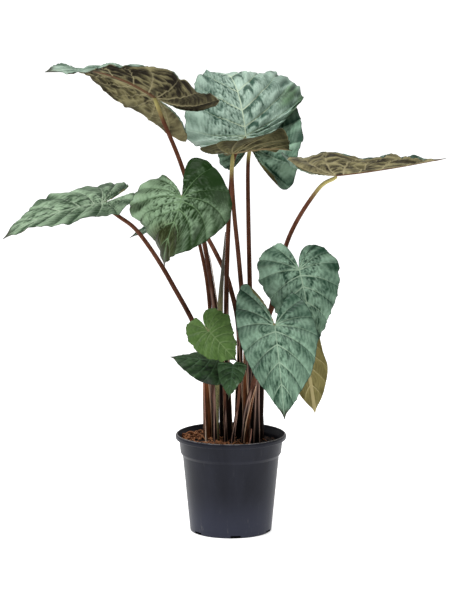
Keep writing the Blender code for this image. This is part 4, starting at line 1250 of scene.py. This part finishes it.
def pot_profile(pot):
    """Profile from the middle of the floor out and up inside, over the lip, down outside to the
    foot ring, and in to the middle pad."""
    lip, collar = pot.height - pot.rim_height, pot.height - pot.collar_height
    return [
        (0.0, pot.wall),
        (pot.pad - 0.0025, pot.wall),
        (pot.pad - 0.0005, pot.floor + pot.wall),
        (pot.wall_foot - pot.wall + 0.0006, pot.floor + pot.wall),
        (pot.wall_top - pot.wall, collar - pot.step_height),
        (pot.collar_foot - pot.wall, collar + 0.0008),
        (pot.collar_top - pot.wall, pot.height - 0.0160),
        (pot.rim_radius - 0.0054, pot.height - 0.0050),
        (pot.rim_radius - 0.0044, pot.height - 0.0008),
        (pot.rim_radius - 0.0037, pot.height),
        (pot.rim_radius - 0.0030, pot.height),
        (pot.rim_radius - 0.0008, pot.height - 0.0015),
        (pot.rim_radius, pot.height - 0.0040),
        (pot.rim_radius, lip + 0.0015),
        (pot.rim_radius - 0.0012, lip),
        (pot.collar_top, lip - 0.0006),
        (pot.collar_foot, collar),
        (pot.wall_top, collar - pot.step_height),
        (pot.wall_foot, 0.0025),
        (pot.wall_foot - 0.0012, 0.0),
        (pot.wall_foot - 2.2 * pot.wall, 0.0),
        (pot.wall_foot - 2.4 * pot.wall, pot.floor),
        (pot.pad, pot.floor),
        (pot.pad - 0.002, 0.0),
        (0.0, 0.0),
    ]


def turned_mesh(name, profile, steps):
    """Mesh of a profile of (radius, height) points turned about Z; its ends lie on the axis."""
    work = bmesh.new()
    points = [work.verts.new((radius, 0.0, height)) for radius, height in profile]
    edges = [work.edges.new(pair) for pair in zip(points, points[1:])]
    bmesh.ops.spin(work, geom=points + edges, cent=(0, 0, 0), axis=(0, 0, 1), angle=math.tau,
                   steps=steps, use_merge=True)
    bmesh.ops.remove_doubles(work, verts=work.verts, dist=0.00002)
    bmesh.ops.recalc_face_normals(work, faces=work.faces)
    return mesh_of(work, name)


def pot_openings(pot):
    """One object that holds the foot notches and the drain holes, to cut them out with."""
    work = bmesh.new()
    for i in range(OPENINGS):
        turn = Matrix.Rotation(math.radians(FIRST_OPENING + 360.0 / OPENINGS * i), 4, "Z")
        place = turn @ Matrix.Translation((pot.wall_foot - 0.003, 0.0, 0.0))
        bmesh.ops.create_cube(work, size=1.0, matrix=place @ Matrix.Diagonal((*NOTCH_SIZE, 1.0)))
        place = turn @ Matrix.Translation((DRAIN_AT, 0.0, pot.floor))
        bmesh.ops.create_cone(work, cap_ends=True, segments=24, radius1=DRAIN_RADIUS,
                              radius2=DRAIN_RADIUS, depth=4 * pot.wall, matrix=place)
    return add_object("pot_openings", mesh_of(work, "pot_openings"))


def put_in_order(item):
    """Rebuilds a cut mesh with its points and faces in a fixed order, which a cut leaves to chance."""
    cut = item.data
    points = np.array([point.co for point in cut.vertices])
    order = np.lexsort(points.T)
    rank = np.argsort(order)
    faces = []
    for face in cut.polygons:
        corners = rank[list(face.vertices)].tolist()
        first = corners.index(min(corners))
        faces.append(corners[first:] + corners[:first])
    item.data = new_mesh(cut.name, points[order], sorted(faces))
    item.data.materials.append(cut.materials[0])


def build_pot(pot, material):
    """Pot with rounded edges, notches in its foot ring and drain holes."""
    mesh = turned_mesh("pot", rounded(pot_profile(pot)), POT_STEPS)
    item = new_object("dressed_pot", mesh, [material], "pot")
    openings = pot_openings(pot)
    modify(item, "BOOLEAN", operation="DIFFERENCE", object=openings, solver="EXACT")
    bpy.data.objects.remove(openings, do_unlink=True)
    put_in_order(item)
    smooth_but_sharp(item.data, 34.0)


def pot_finish(pot):
    """Slate plastic with a faint grain, dusty smears and scuffs near the foot, a lip lighter in scuffed
    spots, worn and with a painted highlight, and painted shade inside the foot ring.
    """
    finish = Finish("slate_plastic", specular_ior_level=0.15)
    height = finish.node("ShaderNodeSeparateXYZ", None, {0: finish.place()}, output="Z")
    off_axis = finish.length(finish.stretched((1.0, 1.0, 0.0)))
    grain = finish.speckle(900.0, 2.0, 0.5)
    smear = finish.speckle((9.0, 9.0, 4.0), 5.0, 0.62, 0.6)
    scuff = finish.speckle((160.0, 160.0, 22.0), 4.0, 0.7)
    skin = finish.mix(smear.ramp(0.38, 0.68), pot.colour, times(pot.colour, 1.45, 0.004))
    skin = finish.mix(height.ramp(0.110, 0.010) * 0.8, skin, times(pot.colour, 3.4, 0.007))
    # The lip lighter in scuffed spots: wear together with a painted highlight
    skin = finish.mix(height.ramp(0.2112, 0.2129) * scuff.ramp(0.30, 0.60), skin, (0.240, 0.230, 0.230))
    dust = scuff.ramp(0.60, 0.80) * (height.ramp(0.060, 0.0) * 0.5 + 0.08)
    skin = finish.mix(dust, skin, (0.200, 0.190, 0.175))
    # Painted shade: nearly black inside the foot ring, low down, where the notches open
    under = off_axis.ramp(pot.wall_foot - 0.0004, pot.wall_foot - 0.0014) * height.ramp(0.010, 0.007)
    skin = finish.mix(under, skin, (0.0015, 0.0015, 0.002))
    return finish.cover(skin, 0.30 + smear * 0.14 + grain * 0.08 + dust * 0.3,
                        grain * 0.6 + smear * 0.8, 0.0004, 0.35)


def soil_height(soil, x, y):
    """Height of the soil's top: lumps of crossed waves, heaped on the left and lower on the right."""
    large = np.sin(71 * x + 40 * y) + np.sin(93 * y - 52 * x + 1.7)
    small = np.sin(160 * x + 2.1) * np.cos(140 * y)
    heap = 0.0080 * np.exp(-(((x + 0.080) / 0.032) ** 2 + ((y + 0.005) / 0.060) ** 2))
    fall = 0.0070 / (1.0 + np.exp(-(x - 0.060) / 0.012))
    return soil.top + soil.relief * (large + small) / 3.0 + heap - fall


def build_soil(soil, pot, material):
    """Soil that fills the pot, with a crumbly top."""
    radius = soil.radius * np.linspace(0.0, 1.0, SOIL_RINGS + 1)[1:]
    turn = np.arange(SOIL_STEPS) / SOIL_STEPS * math.tau
    x, y = radius[:, None] * np.cos(turn), radius[:, None] * np.sin(turn)
    z = soil_height(soil, x, y)
    for i, (depth, size) in enumerate(FINE_LUMPS):
        z += depth * lumps(vectors(x, y, 0.0) + 5.0 * i, size)
    collar = pot.height - pot.collar_height
    floor = pot.floor + pot.wall + SOIL_OFF_FLOOR
    below = ((pot.collar_foot - pot.wall - SOIL_OFF_WALL, collar + 0.0008),
             (pot.wall_top - pot.wall - SOIL_OFF_WALL, collar - pot.step_height),
             (pot.wall_foot - pot.wall, floor))
    rows = [vectors(x, y, z).reshape(-1, 3)]
    rows += [vectors(wide * np.cos(turn), wide * np.sin(turn), height) for wide, height in below]
    rows.append([(0.0, 0.0, float(soil_height(soil, 0.0, 0.0))), (0.0, 0.0, floor)])
    faces = ring_faces(SOIL_RINGS + len(below), SOIL_STEPS, downward=True)
    mesh = new_mesh("soil", np.concatenate(rows), faces)
    mesh.shade_smooth()
    new_object("dressed_soil", mesh, [material], "soil")


def soil_finish(name, base, light, rough=0.95):
    """Moist crumbly matter between two colours."""
    finish = Finish(name, specular_ior_level=0.25)
    patch = finish.speckle(60.0, 5.0, 0.65)
    crumb = finish.speckle(420.0, 4.0, 0.7)
    skin = finish.mix((patch * 0.6 + crumb * 0.7).ramp(0.45, 0.95), base, light)
    return finish.cover(skin, rough - crumb * 0.2, crumb + patch * 0.5, 0.0014, 1.0)


def soil_spot(rng, soil, left):
    """Random place on the soil's top, drawn to the left by a share."""
    while True:
        radius = (soil.radius - LOOSE_EDGE) * math.sqrt(rng.random())
        turn = rng.random() * math.tau
        x, y = radius * math.cos(turn), radius * math.sin(turn)
        if rng.random() > left * (x / soil.radius + 1.0) / 1.6:
            return x, y, float(soil_height(soil, x, y))


def scatter_mesh(name, rng, soil, count, make, left):
    """One mesh of many small solids, each made, turned and set down on the soil."""
    work = bmesh.new()
    for _ in range(count):
        spot = soil_spot(rng, soil, left)
        tilts = (rng.uniform(-LOOSE_TILT, LOOSE_TILT), rng.uniform(-LOOSE_TILT, LOOSE_TILT))
        tilt_x, tilt_y = (Matrix.Rotation(tilt, 4, axis) for tilt, axis in zip(tilts, "XY"))
        turn = Matrix.Rotation(rng.random() * math.tau, 4, "Z")
        make(work, rng, Matrix.Translation(spot) @ turn @ (tilt_x @ tilt_y))
    return mesh_of(work, name)


def add_chip(work, rng, place):
    """Flat splinter of bark with ragged ends."""
    size = Matrix.Diagonal((*(rng.uniform(low, high) for low, high in CHIP_SIZES), 1.0))
    for vert in bmesh.ops.create_cube(work, size=1.0, matrix=place @ size)["verts"]:
        vert.co += Vector([rng.uniform(-CHIP_STRAY, CHIP_STRAY) for _ in range(3)])


def add_crumb(work, rng, place):
    """Rough soil crumb."""
    radius = rng.uniform(*CRUMB_RADIUS)
    made = bmesh.ops.create_icosphere(work, subdivisions=1, radius=radius, matrix=place)
    for vert in made["verts"]:
        vert.co += Vector([rng.uniform(-CRUMB_STRAY, CRUMB_STRAY) * radius for _ in range(3)])


def fibre_curve(rng, soil, count):
    """Loose fibres: arched wires that start and end in the soil, thick on the left."""
    curve = bpy.data.curves.new("soil_fibre", "CURVE")
    curve.dimensions = "3D"
    curve.bevel_depth = FIBRE_RADIUS
    curve.bevel_resolution = 1
    curve.use_fill_caps = True
    for _ in range(count):
        x, y, _ = soil_spot(rng, soil, 0.92)
        turn, length = rng.random() * math.tau, rng.uniform(*FIBRE_LENGTH)
        arch, sway = rng.uniform(*FIBRE_ARCH), rng.uniform(-FIBRE_SWAY, FIBRE_SWAY)
        spline = curve.splines.new("POLY")
        spline.points.add(FIBRE_STEPS)
        for i, point in enumerate(spline.points):
            s = i / FIBRE_STEPS
            bulge = math.sin(math.pi * s)
            along, aside = (s - 0.5) * length, sway * bulge
            px = x + along * math.cos(turn) - aside * math.sin(turn)
            py = y + along * math.sin(turn) + aside * math.cos(turn)
            keep = min(1.0, (soil.radius - FIBRE_EDGE) / max(math.hypot(px, py), TINY))
            px, py = px * keep, py * keep
            lift = arch * bulge + 0.0004
            point.co = (px, py, float(soil_height(soil, px, py)) + lift, 1.0)
            point.radius = (0.6 + 0.9 * rng.random()) * (0.5 + bulge * 0.5)
    return curve


# Stage

def add_light(name, place, aim, size, power):
    """Large soft light that faces a point."""
    light = bpy.data.lights.new(name, "AREA")
    light.shape = "RECTANGLE"
    light.size, light.size_y = size
    light.energy = power
    item = add_object(name, light)
    item.location = place
    item.rotation_euler = (Vector(aim) - Vector(place)).to_track_quat("-Z", "Y").to_euler()


def build_world(scene):
    """White studio air, brightest overhead and at the sides, dim behind the viewer."""
    scene.world = bpy.data.worlds.new("studio")
    scene.world.use_nodes = True
    air = Nodes(scene.world.node_tree)
    aims = {0: air.node("ShaderNodeTexCoord", output="Generated"), 1: (0.0, 0.85, 0.53)}
    turn = air.node("ShaderNodeVectorMath", {"operation": "DOT_PRODUCT"}, aims, "Value")
    levels = {"Value": turn, "From Min": -0.9, "From Max": 0.5, "To Min": 0.10, "To Max": 0.62}
    background = air.tree.nodes["Background"].inputs
    air.put(background["Strength"], air.node("ShaderNodeMapRange", None, levels))
    air.put(background["Color"], (1.0, 1.0, 1.0))


def build_floor(colour):
    """Pale floor, black in a disc under the pot so that the pot isn't lit from below."""
    finish = Finish("pale_floor", roughness=0.9, specular_ior_level=0.1, emission_strength=0.75)
    clear = finish.length(finish.place()).ramp(0.084, 0.091)
    finish.feed(base_color=finish.mix(clear, (0.02, 0.02, 0.02), colour),
                emission_color=finish.mix(clear, (0.0, 0.0, 0.0), (1.0, 1.0, 1.0)))
    work = bmesh.new()
    bmesh.ops.create_circle(work, cap_ends=True, segments=96, radius=30.0)
    mesh = mesh_of(work, "floor")
    mesh.materials.append(finish.material)
    floor = add_object("floor", mesh)
    floor.location.z = -0.0002


def add_camera(scene, stage):
    """Camera in front of the plant, looking a little down."""
    camera = bpy.data.cameras.new("camera")
    camera.lens = stage.lens
    camera.sensor_width = 36.0
    camera.clip_end = 100.0
    item = add_object("camera", camera)
    item.location = (stage.aside, -stage.distance, stage.height)
    item.rotation_euler = (math.pi / 2 - stage.tilt, 0.0, 0.0)
    scene.camera = item


# Operators

class ALOCASIA_OT_pot(bpy.types.Operator):
    """Adds the nursery pot."""
    bl_idname = "alocasia.pot"
    bl_label = "Pot"

    def execute(self, context):
        pot = context.scene.alocasia_pot
        build_pot(pot, pot_finish(pot))
        return {"FINISHED"}


class ALOCASIA_OT_soil(bpy.types.Operator):
    """Adds the soil with its bark, crumbs, perlite and fibres."""
    bl_idname = "alocasia.soil"
    bl_label = "Soil"

    def execute(self, context):
        soil, pot = context.scene.alocasia_soil, context.scene.alocasia_pot
        earth = soil_finish("moist_soil", soil.colour, times(soil.colour, 3.0))
        bark = soil_finish("bark", (0.008, 0.004, 0.003), (0.085, 0.034, 0.016), 0.85)
        coir = soil_finish("coir", (0.120, 0.038, 0.014), (0.640, 0.290, 0.130), 0.8)
        white = soil_finish("perlite", (0.420, 0.400, 0.350), (0.800, 0.780, 0.720), 0.8)
        build_soil(soil, pot, earth)
        rng = random.Random(SEED)
        pieces = (("soil_bark", soil.chips, add_chip, 0.55, bark),
                  ("soil_crumb", soil.crumbs, add_crumb, 0.0, earth),
                  ("soil_perlite", soil.grains, add_crumb, 0.35, white))
        for name, count, make, left, material in pieces:
            mesh = scatter_mesh(name, rng, soil, count, make, left)
            new_object(name, mesh, [material], None)
        new_object("soil_fibre", fibre_curve(rng, soil, soil.fibres), [coir], None)
        return {"FINISHED"}


class ALOCASIA_OT_blades(bpy.types.Operator):
    """Adds the leaf blades."""
    bl_idname = "alocasia.blades"
    bl_label = "Leaf blades"

    def execute(self, context):
        settings = context.scene.alocasia_leaf
        materials = {name: [leaf_top(f"{name}_top", tones, settings.spacing),
                            leaf_under(f"{name}_underside", tones, settings.spacing)]
                     for name, tones in LEAF_TONES.items()}
        for leaf in LEAVES:
            build_blade(leaf, settings, materials[leaf.finish])
        return {"FINISHED"}


class ALOCASIA_OT_stalks(bpy.types.Operator):
    """Adds the leaf stalks."""
    bl_idname = "alocasia.stalks"
    bl_label = "Stalks"

    def execute(self, context):
        material = stalk_finish()
        for leaf in LEAVES:
            build_stalk(leaf, material)
        return {"FINISHED"}


class ALOCASIA_OT_sheaths(bpy.types.Operator):
    """Adds the dry sheaths at the feet of the stalks."""
    bl_idname = "alocasia.sheaths"
    bl_label = "Sheaths"

    def execute(self, context):
        material = sheath_finish()
        leaves = {leaf.name: leaf for leaf in LEAVES}
        for name, *shape in SHEATHS:
            build_sheath(f"sheath_{name}", leaves[name], shape, material)
        return {"FINISHED"}


class ALOCASIA_OT_spear(bpy.types.Operator):
    """Adds the rolled young leaf."""
    bl_idname = "alocasia.spear"
    bl_label = "Rolled leaf"

    def execute(self, context):
        build_spear(spear_finish())
        return {"FINISHED"}


class ALOCASIA_OT_roots(bpy.types.Operator):
    """Adds the pale roots that stand out of the soil."""
    bl_idname = "alocasia.roots"
    bl_label = "Roots"

    def execute(self, context):
        material = root_finish()
        for name, path in ROOTS.items():
            build_root(name, path, material)
        return {"FINISHED"}


class ALOCASIA_OT_stage(bpy.types.Operator):
    """Adds the floor, the studio lights and the camera."""
    bl_idname = "alocasia.stage"
    bl_label = "Stage"

    def execute(self, context):
        scene, stage = context.scene, context.scene.alocasia_stage
        build_floor(stage.floor)
        build_world(scene)
        middle = (0.0, 0.0, 0.55)
        add_light("key_light", (-1.5, -1.0, 3.0), middle, (0.9, 0.9), 55.0)
        add_light("top_light", (0.4, 0.6, 3.2), middle, (2.2, 1.6), 28.0)
        add_camera(scene, stage)
        scene.view_settings.view_transform = "Standard"
        return {"FINISHED"}


OPERATORS = (ALOCASIA_OT_pot, ALOCASIA_OT_soil, ALOCASIA_OT_blades, ALOCASIA_OT_stalks,
             ALOCASIA_OT_sheaths, ALOCASIA_OT_spear, ALOCASIA_OT_roots, ALOCASIA_OT_stage)
SETTINGS = {"alocasia_pot": PotSettings, "alocasia_soil": SoilSettings, "alocasia_leaf": LeafSettings,
            "alocasia_stalk": StalkSettings, "alocasia_sheath": SheathSettings,
            "alocasia_stage": StageSettings}


class ALOCASIA_PT_panel(bpy.types.Panel):
    """Lists the plant's pieces and their settings."""
    bl_label = "Potted alocasia"
    bl_idname = "ALOCASIA_PT_panel"
    bl_space_type = "VIEW_3D"
    bl_region_type = "UI"
    bl_category = "Alocasia"

    def draw(self, context):
        for operator in OPERATORS:
            self.layout.operator(operator.bl_idname)
        for name, group in SETTINGS.items():
            box = self.layout.box()
            box.label(text=group.__doc__)
            for prop in group.__annotations__:
                box.prop(getattr(context.scene, name), prop)


def register():
    """Registers the settings, the operators and the panel."""
    for name, group in SETTINGS.items():
        bpy.utils.register_class(group)
        setattr(bpy.types.Scene, name, PointerProperty(type=group))
    for item in (*OPERATORS, ALOCASIA_PT_panel):
        bpy.utils.register_class(item)


def unregister():
    """Takes them out again."""
    for item in (ALOCASIA_PT_panel, *OPERATORS):
        bpy.utils.unregister_class(item)
    for name, group in SETTINGS.items():
        delattr(bpy.types.Scene, name)
        bpy.utils.unregister_class(group)


def main():
    """Builds every piece in order."""
    register()
    bpy.ops.alocasia.pot()
    bpy.ops.alocasia.soil()
    bpy.ops.alocasia.blades()
    bpy.ops.alocasia.stalks()
    bpy.ops.alocasia.sheaths()
    bpy.ops.alocasia.spear()
    bpy.ops.alocasia.roots()
    bpy.ops.alocasia.stage()
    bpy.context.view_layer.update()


if __name__ == "__main__":
    main()
